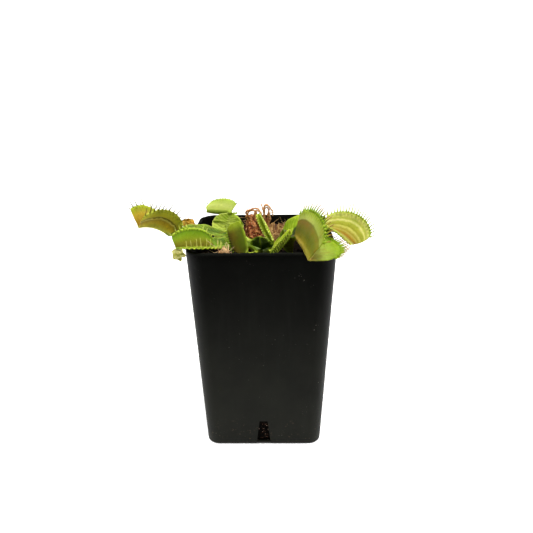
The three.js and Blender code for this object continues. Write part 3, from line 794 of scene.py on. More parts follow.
def grow_stalk(skin, leaf, seed):
    """A sheet with two faces: folded along the middle, wavy and ruffled towards the edges."""
    st = leaf["stalk"]
    curve = stalk_curve(leaf)
    start = ROOTED / curve.length
    end = NECK if "trap" in leaf else 1.0
    u = np.sin(np.linspace(-math.pi / 2, math.pi / 2, ACROSS))
    rings, runs = [], []
    places = [np.linspace(0, start, ROOT_RINGS)[:-1], np.linspace(start, 1, RINGS)]
    for place in np.concatenate(places):
        t = float(np.clip((place - start) / (end - start), 0, 1))
        half = RIB_BASE if place < start else float(wing_half_width(st, t))
        if "trap" not in leaf:
            half = max(0.12, half - 0.7 * float(smoothstep(t, 0.9, 1)))
        rib = lerp(RIB_BASE, RIB_NECK, t)
        winged = float(smoothstep(half, RIB_BASE, 2.8))
        along = curve.along(place)
        side = unit(np.cross(along, vector(*st["face"])))
        up = np.cross(side, along)
        off = np.minimum(1, np.abs(u) * half / 1.4)
        edge = THICK / 2 * (1 - 0.45 * smoothstep(np.abs(u), 0.7, 1))
        bulge = np.maximum(edge, rib * np.sqrt(np.maximum(0, 1 - off**2)))
        groove = 0.3 * np.exp(-((u * half / 0.8) ** 2)) * winged
        above = lerp(bulge, edge, winged) - groove
        lift = st["fold"] * half * np.abs(u) ** 1.4
        wave = st["wave"] * half * u**2 * np.sin(12 * t + 2 * u)
        ruffle = st["ruffle"] * half * np.abs(u) ** 3 * np.sin(31 * t + seed + 3 * u)
        mid = (lift + wave + ruffle) * winged
        centre = curve.at(place)
        wide = half * (1 + 0.012 * np.sin(23 * t + seed)) * u
        top = centre + side * wide[:, None] + up * (mid + above)[:, None]
        low = centre + side * wide[:, None] + up * (mid - bulge)[:, None]
        rings.append(np.concatenate([top, low[::-1]]))
        runs.append(t)
    upper = np.ones(len(u))
    skin.loft(
        rings,
        run=np.repeat(runs, 2 * len(u)),
        span=np.tile(np.concatenate([u, u[::-1]]), len(rings)),
        face=np.tile(np.concatenate([upper, 0 * upper]), len(rings)),
        kind=WING,
    )


# %% Trap form
def lobe(t, hand, s, r):
    """A place on a lobe: s along the midrib, and r from 0 at the midrib to 1 at the teeth."""
    s, r = np.broadcast_arrays(np.asarray(s, float), np.asarray(r, float))
    point, tangent, opening, side, length = midrib(t, s)
    turned = t["right"] if hand > 0 else t["left"]
    first = np.radians(lerp(turned[0][0], turned[0][1], s))
    turn = np.radians(lerp(turned[1][0], turned[1][1], s)) - first
    turn = np.where(np.abs(turn) < 1e-3, 1e-3, turn)
    swell = np.maximum(0, 1 - np.abs(2 * s - 1) ** 2.4) ** 0.8
    reach = t["width"] * lerp(lerp(*t["ends"], s), 1, swell)
    angle = first + turn * r
    out = reach * (np.cos(first) - np.cos(angle)) / turn
    rise = reach * (np.sin(angle) - np.sin(first)) / turn
    fan = (2 * s - 1) * lerp(*t["fan"], s) * length * r
    return point + side * (hand * out)[..., None] + opening * rise[..., None] + tangent * fan[..., None]


def lobe_rows(t, rows, columns):
    """The middle surface of both lobes, with softly rounded corners, and its s, q and r.

    q runs from -1 at the left lobe's teeth over the midrib to 1 at the right lobe's.
    """
    s = np.linspace(0, 1, rows)[:, None]
    q = np.linspace(-1, 1, 2 * columns + 1)[None, :]
    r = np.abs(q) ** 0.9
    s = 0.5 + (s - 0.5) * (1 - lerp(*t["soft"], s) * r**6)
    middle = np.where((q < 0)[..., None], lobe(t, -1, s, r), lobe(t, 1, s, r))
    return middle, s, q * np.ones_like(s), r * np.ones_like(s)


def grow_lobes(skin, t, seed):
    """Both lobes as one sheet, uneven, thickest at the midrib and closed by a rounded rim."""
    rows, columns = 64, 26
    middle, s, q, r = lobe_rows(t, rows, columns)
    normal = -unit(np.cross(np.gradient(middle, axis=0), np.gradient(middle, axis=1)))
    wave = 0.3 * np.sin(2 * math.pi * t["teeth"] * s) * smoothstep(r, 0.8, 1)
    slow = t["crumple"] * np.sin(5.1 * s + 2.3 * q + seed) * np.sin(3.7 * q + seed)
    slow = slow * smoothstep(r, 0.1, 0.6)
    dent = t["crease"] * np.exp(-(((r - 0.58) / 0.045) ** 2))
    dent = dent * smoothstep(s, 0.8, 0.55) * smoothstep(s, 0.1, 0.3)
    middle = middle + normal * (wave + slow + dent * 1.6)[..., None]
    half = lerp(0.4, 0.26, smoothstep(r, 0.1, 1))
    ridge = 0.5 * np.exp(-((q * t["width"] / 1.1) ** 2))
    brim = 0.12 * np.exp(-(((r - 0.9) / 0.05) ** 2))
    inside = middle + normal * (half + brim)[..., None]
    outside = middle - normal * (half + ridge)[..., None]
    count = 2 * columns + 1
    total = rows * count
    grid = np.arange(total).reshape(rows, count)
    rim = np.concatenate([grid[0], grid[1:, -1], grid[-1, -2::-1], grid[-2:0:-1, 0]])
    edge = middle.reshape(-1, 3)[rim]
    lip = edge + unit(edge - middle[rows // 2, columns]) * 0.2
    faces = grid_faces(rows, count) + grid_faces(rows, count, start=total, flip=True)
    first = 2 * total
    for k in range(len(rim)):
        m = (k + 1) % len(rim)
        here, after = int(rim[k]), int(rim[m])
        faces.append((after, here, first + k, first + m))
        faces.append((first + m, first + k, total + here, total + after))

    def spread(field):
        """A mark's values on the inner face, the outer face and the lip."""
        return np.concatenate([field.ravel(), field.ravel(), field.ravel()[rim]])

    skin.add(
        np.concatenate([inside.reshape(-1, 3), outside.reshape(-1, 3), lip]), faces,
        along=spread(s), across=spread(r), kind=LOBE,
        face=np.concatenate([np.ones(total), np.zeros(total), np.full(len(rim), 0.5)]),
    )


# %% Teeth and trigger hairs
HAIRLESS = 8  # a trap no wider than this has no trigger hairs


def grow_hairs(skin, t, hand):
    """The three trigger hairs on the inner face of one lobe."""
    for s, r in ((0.36, 0.42), (0.5, 0.62), (0.64, 0.42)):
        root = lobe(t, hand, s, r)
        out = unit(np.cross(lobe(t, hand, s + 0.01, r) - root, lobe(t, hand, s, r + 0.01) - root))
        _, _, opening, _, _ = midrib(t, s)
        out = out if out.dot(opening) > 0 else -out
        path = root + out * np.linspace(0, 1.9, 5)[:, None]
        tube(skin, path, np.linspace(0.11, 0.03, 5), 5, along=s, across=r, face=1.0, kind=HAIR)


def grow_teeth(skin, t, seed):
    """A comb of bent spikes along each edge, some of them broken off short."""
    draw = random.Random(seed)
    count = t["teeth"]
    q = np.linspace(0, 1, 9)
    radii = t["thick"] * (lerp(1.0, 0.36, q) + 0.9 * np.exp(-9 * q))
    for hand in (-1, 1):
        for k in range(count):
            s = (k + 0.5 + 0.2 * hand + draw.uniform(-0.15, 0.15)) / count
            s = min(0.985, max(0.015, s))
            root = lobe(t, hand, s, 0.985)
            outward = unit(lobe(t, hand, s, 1.0) - lobe(t, hand, s, 0.8))
            edge = unit(lobe(t, hand, min(1, s + 0.03), 1.0) - lobe(t, hand, max(0, s - 0.03), 1.0))
            outward = unit(outward - edge * (0.7 * outward.dot(edge)))
            _, _, opening, side, _ = midrib(t, s)
            inward = unit(-side * hand + 0.25 * opening)
            lean = t["lean"] + (t["curl"] if hand < 0 else 0)
            length = t["tooth"] * lerp(0.72, 1.0, math.sin(math.pi * s)) * draw.uniform(0.82, 1.12)
            if draw.random() < t["lost"]:
                length *= draw.uniform(0.15, 0.4)
            sway = edge * draw.uniform(-0.16, 0.16)
            bend = outward * q[:, None] + (inward * lean + sway) * (q**2)[:, None]
            path = root + length * bend / max(1, np.linalg.norm(bend[-1]))
            tube(skin, path, radii, 6, along=s, across=1 + q, face=0.5, kind=TOOTH)
        if t["width"] > HAIRLESS:
            grow_hairs(skin, t, hand)


# %% A scrap of dead skin
def grow_scrap(skin, centre, hang, side, size, seed):
    """A withered flap that hangs from a trap's end, with a torn edge."""
    draw = random.Random(seed)
    around, rings = 48, 9
    cup = np.cross(hang, side)
    turns = np.linspace(0, 2 * math.pi, around, endpoint=False)
    torn = [0.75 + 0.3 * math.sin(3 * a + seed) * math.sin(2 * a) + 0.16 * draw.random() for a in turns]
    layers = []
    for thick in (0.16, -0.16):
        for q in np.linspace(0.04, 1, rings):
            for a, reach in zip(turns, torn):
                x, y = q * reach * math.cos(a), q * reach * math.sin(a)
                fold = 0.3 * (x * x + y * y) + 0.12 * math.sin(6 * x + 4 * y + seed)
                fold += 0.1 * math.sin(9 * y)
                place = hang * (y + 0.15) * 1.15 + side * x + cup * (fold + thick / size)
                layers.append(centre + size * place)
    half = rings * around
    faces = grid_faces(rings, around, closed=True, flip=True)
    faces += grid_faces(rings, around, start=half, closed=True)
    faces += [tuple(range(around)), tuple(half + k for k in range(around))[::-1]]
    rim = half - around
    for k in range(around):
        m = (k + 1) % around
        faces.append((rim + k, rim + m, half + rim + m, half + rim + k))
    skin.add(layers, faces, kind=DEAD, face=0.5, across=0.5)


# %% [markdown]
# ## Leaf finishes
# A living leaf is no single green. The lobes are pale at the margin, where the nectar is, with a
# painted highlight along the very edge, olive to brownish inside, and blushed near the hinge; teeth
# start green and fade to straw. Side veins run out from the midrib, glands make the inner face finely
# pimply, and light passes through the thin tissue.
# The marks on the mesh say where each point is, so one recipe serves every leaf with its own colours.


# %% Shared leaf colours
TOOTH_PALE = ((0, 142, 168, 40), (0.3, 180, 184, 76), (1, 146, 126, 66))
TOOTH_CREAM = ((0, 150, 180, 50), (0.25, 200, 206, 110), (1, 206, 200, 130))
TOOTH_GREY = ((0, 118, 134, 40), (0.2, 104, 92, 46), (1, 70, 60, 44))
TOOTH_PINK = ((0, 112, 150, 10), (0.4, 140, 160, 40), (0.65, 170, 134, 80), (1, 148, 100, 76))
TOOTH_GREEN = ((0, 120, 156, 26), (0.5, 156, 176, 60), (1, 186, 190, 100))
WING_GREEN = ((126, 158, 24), (164, 188, 52), (84, 112, 12), (200, 212, 104))
# WING_MID is a darker green, partly painted shade of the folded leaf bases behind the front traps
WING_MID = ((52, 86, 8), (104, 136, 36), (36, 60, 4), (184, 200, 108))
# painted shade: a stalk deep in the shade under the traps above it
WING_SHADY = ((20, 42, 4), (36, 64, 6), (12, 28, 2), (90, 120, 24))
NO_TRAP = ((0, 90, 120, 20), (1, 120, 150, 30))
# the colour of the painted shadows of the teeth below a lobe's margin
TEETH_SHADOW_GREEN = (58, 62, 6)
# the colour of the painted shade on a trap's back near its tip
TIP_SHADE_GREEN = (96, 112, 12)
DEAD_SKIN = ((250, 236, 124), (255, 250, 186))
LIGHT_SPECK = (1.7, 1.55, 1.3)  # tints, where 1 keeps the light as it is
DARK_SPECK = (0.42, 0.48, 0.2)
LESS_BLUE = (1, 1, 0.552)
# the last counts the painted shadow dashes of the teeth
LOBE_VEINS, WING_VEINS, SHADOW_DASH_WAVES = 150, 64, 96  # radians of sine over the whole length
SEE_THROUGH = 0.28  # share of the light that passes through a leaf


# %% Leaf recipe
def leaf_finish(name, glow, blotch, inner=NO_TRAP, outer=NO_TRAP, winged=WING_GREEN,
                tooth=TOOTH_GREEN, teeth_shadow=0.3, drift=0.14, cap=0, edge_highlight=(0.86, 0.97), tip_shade=0):
    """The tissue of one leaf, from its own colours.

    glow: the colour of the light that comes through
    blotch: a colour, and how strongly it shows in blots
    inner, outer: the bands of a lobe's two faces, from the hinge (0) to the margin (1), the last partly
    a painted highlight along the edge
    winged: the stalk's colours, two for its upper side, one for its under side, and its veins, whose
    colour also paints the highlight along its edge
    tooth: the colours from a tooth's root to its point
    teeth_shadow: how dark the broken line below the margin is, a painted shadow of the teeth
    drift: how far the bands wander
    cap: how much of the stalk's green shows at the far end
    edge_highlight: where the painted highlight along the stalk's edge starts, and where it is full
    tip_shade: how much painted shade darkens the backs of the trap towards the tip
    """
    finish = Finish(name, Specular_IOR_Level=0.17)
    kind, face = finish.mark("kind"), finish.mark("face")
    along, across = finish.mark("along"), finish.mark("across")
    run, span = finish.mark("run"), finish.mark("span").size()
    mottle = finish.cloud(3.2, detail=4)
    patch = finish.cloud(7)
    fine = finish.cloud(1.1, detail=4, roughness=0.7)
    wander = across + (mottle * 0.5 + patch * 0.5 - 0.5) * drift
    lobes = face.step(0.4, 0.6).mix(wander.ramp(*outer), wander.ramp(*inner))
    lobe_veins = (along * LOBE_VEINS + (mottle - 0.5) * 5).sine().size().step(0.8, 1.0)
    slant = run * WING_VEINS - span * 7 + (mottle - 0.5) * 4
    wing_veins = slant.sine().size().step(0.84, 1.0)
    rib = span.step(0.13, 0.04)
    wings = patch.step(0.35, 0.65).mix(winged[0], winged[1])
    wings = (face.step(0.6, 0.4) * 0.6).mix(wings, winged[2])
    wings = (wing_veins * 0.35 + rib * 0.4).mix(wings, winged[3])
    # painted highlight along the stalk's edge, in the vein colour
    wings = (span.step(*edge_highlight) * 0.7).mix(wings, winged[3])
    spines = (across - 1).ramp(*tooth)
    on_lobes, on_teeth, on_scrap = (kind.step(k - 0.6, k - 0.4) for k in (LOBE, TOOTH, DEAD))
    veined = (lobe_veins * 0.28 * across.step(1, 0.5)).mix(lobes, winged[3])
    veined = (along.step(0.7, 0.97) * cap).mix(veined, winged[1])
    # painted shade on the trap's backs towards the tip
    veined = (along.step(0.35, 0.68) * face.step(0.6, 0.4) * tip_shade).mix(veined, TIP_SHADE_GREEN)
    base = on_lobes.mix(wings, veined)
    base = on_teeth.mix(base, spines)
    live = 1 - on_teeth
    base = (mottle.step(0.54, 0.72) * blotch[1] * live).mix(base, blotch[0])
    base = (patch.step(0.5, 0.3) * 0.3 * live).mix(base, winged[2])
    # painted shadows of the teeth: a broken dark line just below the margin
    shadow_dashes = (along * SHADOW_DASH_WAVES + mottle * 4).sine().step(-0.3, 0.5)
    shadow_dashes = shadow_dashes * across.step(0.83, 0.87) * across.step(0.95, 0.91)
    base = (shadow_dashes * teeth_shadow * on_lobes * live).mix(base, TEETH_SHADOW_GREEN)
    base = (fine.step(0.54, 0.68) * 0.5 * live).mix(base, base.tinted(*LIGHT_SPECK))
    base = (fine.step(0.46, 0.32) * 0.5 * live).mix(base, base.tinted(*DARK_SPECK))
    base = base.tinted(*LESS_BLUE)
    base = on_scrap.mix(base, fine.mix(*DEAD_SKIN))
    glands = finish.cloud(0.3, detail=1).step(0.5, 0.7) * face * on_lobes
    veins = on_lobes * lobe_veins * 0.8 + (1 - on_lobes) * (wing_veins + rib)
    finish.feed(
        Base_Color=base,
        Roughness=0.34 + mottle * 0.2 + fine * 0.14,
        Normal=finish.bump(veins * 0.6 + fine * 0.6 + mottle * 1.1 + glands * 0.5, 0.3),
    )
    finish.let_light_through(glow, SEE_THROUGH)
    return finish.material


# %% Each leaf's colours
FINISHES = {
    "leaf_far_left": dict(
        inner=(
            (0, 140, 84, 18), (0.25, 170, 124, 30), (0.6, 192, 158, 50), (0.84, 160, 164, 36),
            (1, 184, 200, 64),
        ),
        outer=(
            (0, 214, 214, 100), (0.14, 214, 200, 74), (0.3, 204, 170, 42), (0.46, 160, 126, 16),
            # painted highlight at 0.52 on the crease's lip, and painted shade at 0.57 in the crease
            (0.52, 240, 226, 140), (0.57, 74, 54, 6), (0.63, 206, 190, 66), (0.84, 214, 214, 80),
            (1, 228, 232, 116),
        ),
        winged=WING_MID, tooth=TOOTH_GREY, glow=(176, 176, 30), blotch=((140, 84, 20), 0.4),
        drift=0.34,
    ),
    "leaf_front_left": dict(
        inner=(
            (0, 98, 84, 8), (0.28, 118, 110, 10), (0.5, 128, 148, 12), (0.74, 106, 146, 2),
            (0.86, 76, 110, 2), (0.9, 140, 172, 30), (1, 192, 210, 90),
        ),
        outer=((0, 128, 138, 30), (0.5, 110, 134, 22), (0.9, 150, 176, 44), (1, 190, 206, 86)),
        winged=WING_MID, tooth=TOOTH_CREAM, glow=(190, 204, 30), blotch=((106, 84, 12), 0.25),
        teeth_shadow=0.8,
    ),
    "leaf_back_left": dict(
        inner=((0, 120, 140, 40), (1, 164, 190, 70)),
        outer=(
            (0, 118, 140, 36), (0.12, 158, 172, 92), (0.5, 180, 188, 128), (0.8, 170, 186, 104),
            (1, 176, 200, 90),
        ),
        winged=((180, 208, 84), (208, 224, 122), (156, 186, 66), (230, 238, 160)),
        tooth=TOOTH_GREY, glow=(176, 206, 60), blotch=((168, 160, 76), 0.3),
    ),
    "leaf_small_left": dict(
        inner=((0, 120, 110, 30), (1, 150, 170, 40)),
        outer=(
            (0, 176, 196, 84), (0.03, 120, 146, 24), (0.1, 84, 104, 4), (0.36, 84, 90, 4),
            (0.6, 100, 86, 10), (0.84, 90, 68, 12), (0.93, 60, 50, 6), (1, 170, 190, 70),
        ),
        glow=(176, 184, 24), blotch=((88, 62, 16), 0.4), teeth_shadow=0.9, cap=0.7,
    ),
    "leaf_centre": dict(
        inner=((0, 190, 214, 50), (0.6, 226, 240, 100), (1, 240, 248, 150)),
        outer=(
            (0, 214, 236, 70), (0.4, 236, 248, 120), (0.78, 206, 222, 60), (0.95, 232, 242, 130),
            (1, 244, 250, 176),
        ),
        glow=(200, 220, 40), blotch=((96, 112, 14), 0.3), teeth_shadow=0.9,
    ),
    "leaf_small_right": dict(
        inner=((0, 140, 130, 40), (1, 150, 180, 40)),
        outer=(
            (0, 178, 160, 70), (0.4, 170, 188, 44), (0.8, 134, 156, 22), (0.95, 176, 196, 70),
            (1, 200, 216, 100),
        ),
        glow=(190, 204, 30), blotch=((160, 112, 56), 0.35), teeth_shadow=0.9,
    ),
    "leaf_front_right": dict(
        inner=(
            (0, 226, 170, 120), (0.14, 228, 204, 124), (0.34, 188, 194, 108), (0.6, 168, 190, 96),
            (0.86, 140, 170, 52), (1, 150, 178, 56),
        ),
        outer=(
            (0, 236, 206, 124), (0.12, 160, 140, 44), (0.34, 94, 98, 2), (0.5, 116, 102, 14),
            (0.62, 136, 96, 28), (0.69, 104, 96, 12), (0.73, 188, 196, 122), (0.84, 172, 188, 96),
            (0.93, 160, 182, 66), (1, 190, 210, 100),
        ),
        winged=WING_SHADY, tooth=TOOTH_PINK, glow=(190, 194, 70), blotch=((150, 84, 30), 0.4),
        teeth_shadow=0.1, tip_shade=0.5,
    ),
    "leaf_far_right": dict(
        inner=(
            # the pale rings at 0.2, 0.4, 0.68 and 0.86 are painted highlights, as of glossy ridges,
            # over the lobe's own olive and red-brown bands
            (0, 170, 92, 50), (0.1, 150, 106, 40), (0.2, 176, 158, 96), (0.27, 136, 116, 36),
            (0.4, 192, 184, 118), (0.46, 138, 132, 44), (0.6, 162, 162, 72), (0.68, 224, 216, 170),
            (0.75, 164, 168, 78), (0.86, 212, 210, 150), (0.96, 206, 214, 130), (1, 170, 196, 60),
        ),
        outer=((0, 140, 150, 46), (0.5, 136, 166, 44), (1, 178, 196, 80)),
        tooth=TOOTH_PALE, glow=(186, 200, 50), blotch=((186, 132, 76), 0.25), drift=0.2,
    ),
    "leaf_cupped": dict(
        # painted shade: near black greens for a blade in deep shade, with a bright painted highlight
        # along its edge
        winged=((8, 16, 1), (16, 30, 1), (30, 50, 2), (150, 178, 56)),
        glow=(90, 125, 10), blotch=((30, 46, 4), 0.3), edge_highlight=(0.7, 0.95),
    ),
    "leaf_withered": dict(
        inner=((0, 130, 84, 24), (0.5, 198, 146, 54), (1, 224, 178, 84)),
        outer=((0, 150, 98, 32), (0.6, 204, 150, 56), (1, 228, 184, 92)),
        winged=((136, 94, 40), (170, 128, 56), (108, 72, 30), (196, 160, 88)),
        tooth=((0, 176, 132, 64), (1, 196, 160, 92)),
        glow=(205, 150, 50), blotch=((84, 52, 20), 0.5),
    ),
}

# %% Grow every leaf
SCRAP = {
    "centre": vector(-40.6, -34.2, 114.9),
    "hang": unit(vector(0.12, 0.2, -1)),
    "side": unit(vector(1, 0.25, 0.1)),
    "size": 3.7,
    "seed": 2,
}
for number, (name, leaf) in enumerate(LEAVES.items()):
    skin = Skin()
    grow_stalk(skin, leaf, number)
    if "trap" in leaf:
        grow_lobes(skin, leaf["trap"], number)
        grow_teeth(skin, leaf["trap"], 100 + number)
    if name == "leaf_front_left":
        grow_scrap(skin, **SCRAP)
    slot = "straw" if name == "leaf_withered" else "leaf"
    skin.piece(name + "_grown", leaf_finish(name + "_tissue", **FINISHES[name]), slot, [name])

# %% [markdown]
# ## Moss
# Dead red-brown moss stands behind the middle, matted below and with loose strands curling over at
# the top, paler fibres lie right of it, and a few strands lie at the rim in front. Each tuft is
# hundreds of thin tubes over a matted core: they wander as they climb, and their ends curl.

# %% Moss measures
CURLS = [
    ([(-6, 10.5, 120), (-8.6, 9.4, 123.4), (-9, 9, 125), (-5.8, 9, 126.5), (-3.9, 9, 126.9),
      (-2, 9, 126.3), (-1.3, 9, 124.6), (-1.8, 9.4, 122)], 0.66),
    ([(-7.4, 10.5, 119), (-9, 9.4, 122), (-7.6, 9, 124.9), (-5, 9, 125.6), (-3.4, 9, 124.8),
      (-3.2, 9.4, 121)], 0.52),
    ([(-5, 11, 121), (-7.6, 10, 124), (-8.2, 10, 126), (-7.9, 10, 129.3)], 0.2),
    ([(-2.6, 10, 118), (-4.4, 9.4, 123), (-3.2, 9, 125.6), (-0.8, 9, 124.4),
      (-0.5, 9, 121.5)], 0.75),
    ([(1.6, 11, 114), (1.2, 9.6, 120), (0.8, 9, 125.4), (0, 9, 127.4), (-0.4, 9, 129.6)], 0.75),
    ([(2, 11.5, 114), (1.2, 9.6, 121), (1.2, 9, 127.6), (2, 9, 128.8), (3.4, 9, 128.2),
      (4.8, 9, 126.6), (6, 9, 125), (5.7, 9.3, 122.6)], 0.78),
    ([(2.4, 11, 117), (3, 9.6, 122), (3.6, 9.2, 125.8), (2.4, 9, 127.4), (1.4, 9.2, 126)], 0.66),
    ([(2.2, 11, 116), (4.4, 9.8, 120.6), (4.1, 9.2, 123.8), (5.6, 9, 124.6)], 0.62),
]
TUFTS = {
    "moss_tuft_back": dict(
        at=(-5.2, 12.8), radius=5.4, height=19, wide=1, uneven=0.06,
        strands=330, loose=40, thick=0.4, look="moss", seed=7, curls=CURLS,
    ),
    "moss_tuft_right": dict(
        at=(7.8, 19), radius=6.2, height=11, wide=1.35, uneven=0.2,
        strands=340, loose=170, thick=0.21, look="straw", seed=21, curls=(),
    ),
    "moss_tuft_front": dict(
        at=(-18.4, -32.8), radius=2.3, height=13.6, wide=1.9, uneven=0.08,
        strands=100, loose=60, thick=0.27, look="straw", seed=5, curls=(),
    ),
}


# %% Moss finish
def moss_finish(name, dark, middle, light, tip):
    """Dark where a strand is deep in its tuft, as painted shade, light in blots, and another colour at
    the tips.
    """
    finish = Finish(name, Specular_IOR_Level=0.3)
    blend = finish.cloud(2.2)
    fibre = finish.cloud(0.35, detail=2, stretch=(1, 1, 0.35))
    shade, reach = finish.mark("shade"), finish.mark("reach")
    base = (shade * 0.7 + blend * 0.4).ramp((0.2, *dark), (0.5, *middle), (0.85, *light))
    base = (reach.step(0.55, 1) * 0.6).mix(base, tip)
    base = (fibre.step(0.35, 0.6) * 0.25 + 0.75).mix(dark, base)
    finish.feed(Base_Color=base, Roughness=0.7 + fibre * 0.25, Normal=finish.bump(fibre, 0.12))
    return finish.material


# %% Moss mound
def mound_point(tuft, ground, turn, rise, depth):
    """A place on a tuft's mound: rise from 0 at its foot to 1 at its top, depth 1 on its surface."""
    x, y = tuft["at"]
    out = tuft["radius"] * math.sqrt(max(0, 1 - max(0, rise) ** 2.2)) * depth
    lumpy = 1 + 0.2 * math.sin(3 * turn + tuft["seed"]) + 0.12 * math.sin(7 * turn + 5 * rise)
    uneven = 1 + tuft["uneven"] * math.sin(2 * turn + tuft["seed"]) - tuft["uneven"]
    top = ground + tuft["height"] * rise * lerp(0.8, 1, depth) * uneven
    wide = tuft["wide"] * out * lumpy
    return vector(x + wide * math.cos(turn), y + out * lumpy * math.sin(turn), top)


def inside_pot(path):
    """Pushes a strand back from the pot's walls."""
    path = np.array(path)
    limit = outer_half(path[:, 2]) - POT["wall"] - 0.5
    for k in (0, 1):
        path[:, k] = np.clip(path[:, k], -limit, limit)
    return path


def swirl(points):
    """A push for each point, which changes smoothly through space."""
    return np.array([noise.noise_vector(Vector(p)) for p in points])


def matted_core(skin, tuft, ground):
    """The dense inside of a tuft, so that no light shows through it."""
    turns = np.linspace(0, 2 * math.pi, 40, endpoint=False)
    rings = []
    for rise in np.linspace(-0.06, 0.97, 26):
        ring = np.array([mound_point(tuft, ground, turn, rise, 0.72) for turn in turns])
        rings.append(inside_pot(ring + 0.5 * swirl(ring * 0.9)))
    # painted shade: the matted core takes the darkest colour
    skin.loft(rings, shade=0.12, reach=0.0)


# %% Moss strands
def grow_strands(skin, tuft, ground, draw):
    """Strands that wander up over the mound."""
    reach = np.linspace(0, 0.6, 15)
    for _ in range(tuft["strands"]):
        turn, rise = draw.uniform(0, 2 * math.pi), draw.uniform(0, 0.95) ** 0.8
        path = []
        for _ in range(5):
            path.append(mound_point(tuft, ground, turn, min(0.985, rise), draw.uniform(0.72, 1.06)))
            turn += draw.gauss(0, 0.34)
            rise = max(0.0, rise + draw.gauss(0.05, 0.1))
        radii = tuft["thick"] * draw.uniform(0.5, 1.25) * np.linspace(1, 0.6, 15)
        path = inside_pot(Curve(path, steps=12).at(np.linspace(0, 1, 15)))
        tube(skin, path, radii, 6, shade=min(1, 0.25 + 0.75 * draw.random()), reach=reach)


def grow_wisps(skin, tuft, ground, draw):
    """Short loose ends that stand out of the mound."""
    reach = np.linspace(0.3, 1, 11)
    for _ in range(tuft["loose"]):
        turn, rise = draw.uniform(0, 2 * math.pi), draw.uniform(0.3, 0.93)
        start = mound_point(tuft, ground, turn, rise, 0.8)
        away = unit(vector(math.cos(turn), math.sin(turn), draw.uniform(0.2, 1.2)))
        drift = vector(draw.gauss(0, 0.7), draw.gauss(0, 0.7), draw.gauss(-0.2, 0.6))
        length = draw.uniform(1.6, 4.6)
        path = [start + length * (away * q + drift * q * q) for q in np.linspace(0, 1, 11)]
        radii = tuft["thick"] * draw.uniform(0.35, 0.8) * np.linspace(1, 0.4, 11)
        tube(skin, inside_pot(path), radii, 6, shade=draw.random(), reach=reach)


def grow_curls(skin, tuft, draw):
    """The long curls above the mound, each thicker and thinner by turns."""
    for points, thick in tuft["curls"]:
        path = Curve(points).at(np.linspace(0, 1, 52))
        radii = np.array([thick * (0.9 + 0.55 * noise.noise(Vector(p * 1.7))) for p in path])
        radii *= np.minimum(1, np.linspace(2.2, 0.15, 52) ** 0.5)
        path += 0.25 * swirl(path * 1.1)
        tube(skin, path, radii, 8, shade=draw.uniform(0.6, 1), reach=np.linspace(0.4, 0.95, 52))


def grow_tuft(name, tuft, finish):
    draw = random.Random(tuft["seed"])
    noise.seed_set(tuft["seed"])
    skin = Skin()
    ground = float(soil_height(*tuft["at"])) - 0.4
    matted_core(skin, tuft, ground)
    grow_strands(skin, tuft, ground, draw)
    grow_wisps(skin, tuft, ground, draw)
    grow_curls(skin, tuft, draw)
    skin.piece(name + "_strands", finish, tuft["look"], [name])


# %% Grow the moss
# the colour of the depths is painted shade
FIBRES = {  # colours of the depths, the middle, the light blots and the tips
    "red_brown_moss": ((44, 13, 3), (128, 60, 24), (198, 134, 80), (230, 192, 140)),
    "tan_fibres": ((44, 22, 8), (122, 78, 36), (196, 158, 98), (214, 184, 124)),
    "pale_fibres": ((110, 70, 42), (186, 142, 92), (218, 188, 138), (226, 200, 156)),
}
for (name, tuft), (look, colours) in zip(TUFTS.items(), FIBRES.items()):
    grow_tuft(name, tuft, moss_finish(look, *colours))

# %% [markdown]
# ## Floor and light
# A pale sweep of board under and behind the pot glows a little, as in a light tent. It ends a hand's
# breadth in front, and the room beyond is dark below and dim above, so the front wall of the black
# pot darkens towards its rim, where its finish also paints shade. One soft lamp hangs above, and a
# weaker one on each side draws the pot's bright edges.


# %% Tent and board
TENT = 6.0  # metres from its middle to the cloth


def hang_tent():
    """A pale tent round it all, which the camera sees and no other light ray meets."""
    cloth = Finish("tent_cloth", Roughness=0.9, Specular_IOR_Level=0.1, Emission_Strength=1.0)
    cloth.feed(Emission_Color=cloth.cloud(400).mix((251.6, 251.6, 251), (253.9, 253.9, 253.3)))
    mesh = bpy.data.meshes.new("tent")
    ball = bmesh.new()
    bmesh.ops.create_icosphere(ball, subdivisions=4, radius=TENT)
    ball.to_mesh(mesh)
    ball.free()
    mesh.materials.append(cloth.material)
    tent = put("tent", mesh)
    for ray in ("diffuse", "glossy", "transmission", "shadow"):
        setattr(tent, "visible_" + ray, False)


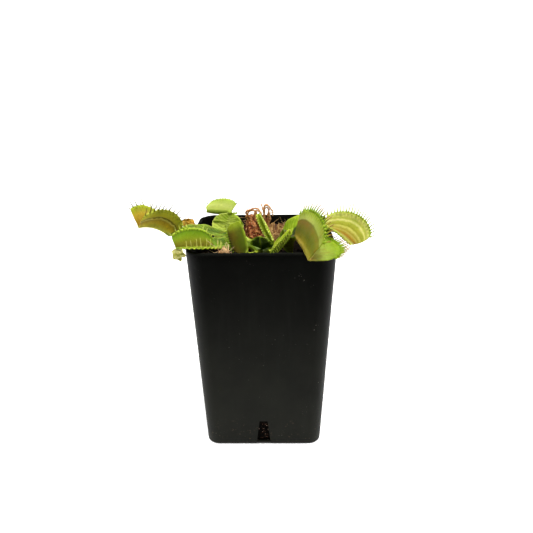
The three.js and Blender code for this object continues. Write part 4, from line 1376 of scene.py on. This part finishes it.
def lay_board():
    """A pale board, in metres, that sweeps up behind the pot."""
    finish = Finish("pale_board", Roughness=0.9, Specular_IOR_Level=0.1, Emission_Strength=0.62)
    base = finish.cloud(40).mix((243.45, 243.45, 242.85), (245.8, 245.8, 245.2))
    finish.feed(Base_Color=base, Emission_Color=base)
    width, front, back, bend, top = 3.0, -0.17, 0.9, 0.5, 2.2
    profile = [(front, 0.0), (back - bend, 0.0)]
    for turn in np.linspace(0, math.pi / 2, 12)[1:]:
        profile.append((back - bend + bend * math.sin(turn), bend - bend * math.cos(turn)))
    profile.append((back, top))
    points = [(x, y, z) for y, z in profile for x in (-width / 2, width / 2)]
    faces = [(2 * k, 2 * k + 1, 2 * k + 3, 2 * k + 2) for k in range(len(profile) - 1)]
    mesh = bpy.data.meshes.new("sweep")
    mesh.from_pydata(points, [], faces)
    mesh.polygons.foreach_set("use_smooth", [True] * len(faces))
    mesh.materials.append(finish.material)
    put("sweep", mesh)


lay_board()
hang_tent()
print("stage: a board of", len(bpy.data.meshes["sweep"].polygons), "faces under a tent")


# %% Lamps
AIM = Vector((0, 0, 0.11))  # metres, at the leaves


def lamp(name, at, size, power):
    data = bpy.data.lights.new(name, "AREA")
    data.shape = "RECTANGLE"
    data.size, data.size_y = size
    data.energy = power
    made = put(name, data)
    made.location = at
    made.rotation_euler = (AIM - Vector(at)).to_track_quat("-Z", "Y").to_euler()


def make_light():
    world = bpy.data.worlds.new("dim_room")
    bpy.context.scene.world = world
    world.use_nodes = True
    room = Wire(world.node_tree)
    up = room.node("SeparateXYZ", {0: room.node("TexCoord")}, output=2)
    dim = up.step(0.0, 0.4).mix((25.46,) * 3, (148.9,) * 3)
    world.node_tree.links.new(dim.socket, world.node_tree.nodes["Background"].inputs["Color"])
    lamp("above", (0.1, -0.22, 0.82), (0.35, 0.35), 11.5)
    lamp("left", (-0.75, -0.1, 0.4), (0.4, 0.7), 3.8)
    lamp("right", (0.8, 0.2, 0.4), (0.4, 0.7), 1.6)
    bpy.context.scene.view_settings.view_transform = "Standard"


make_light()
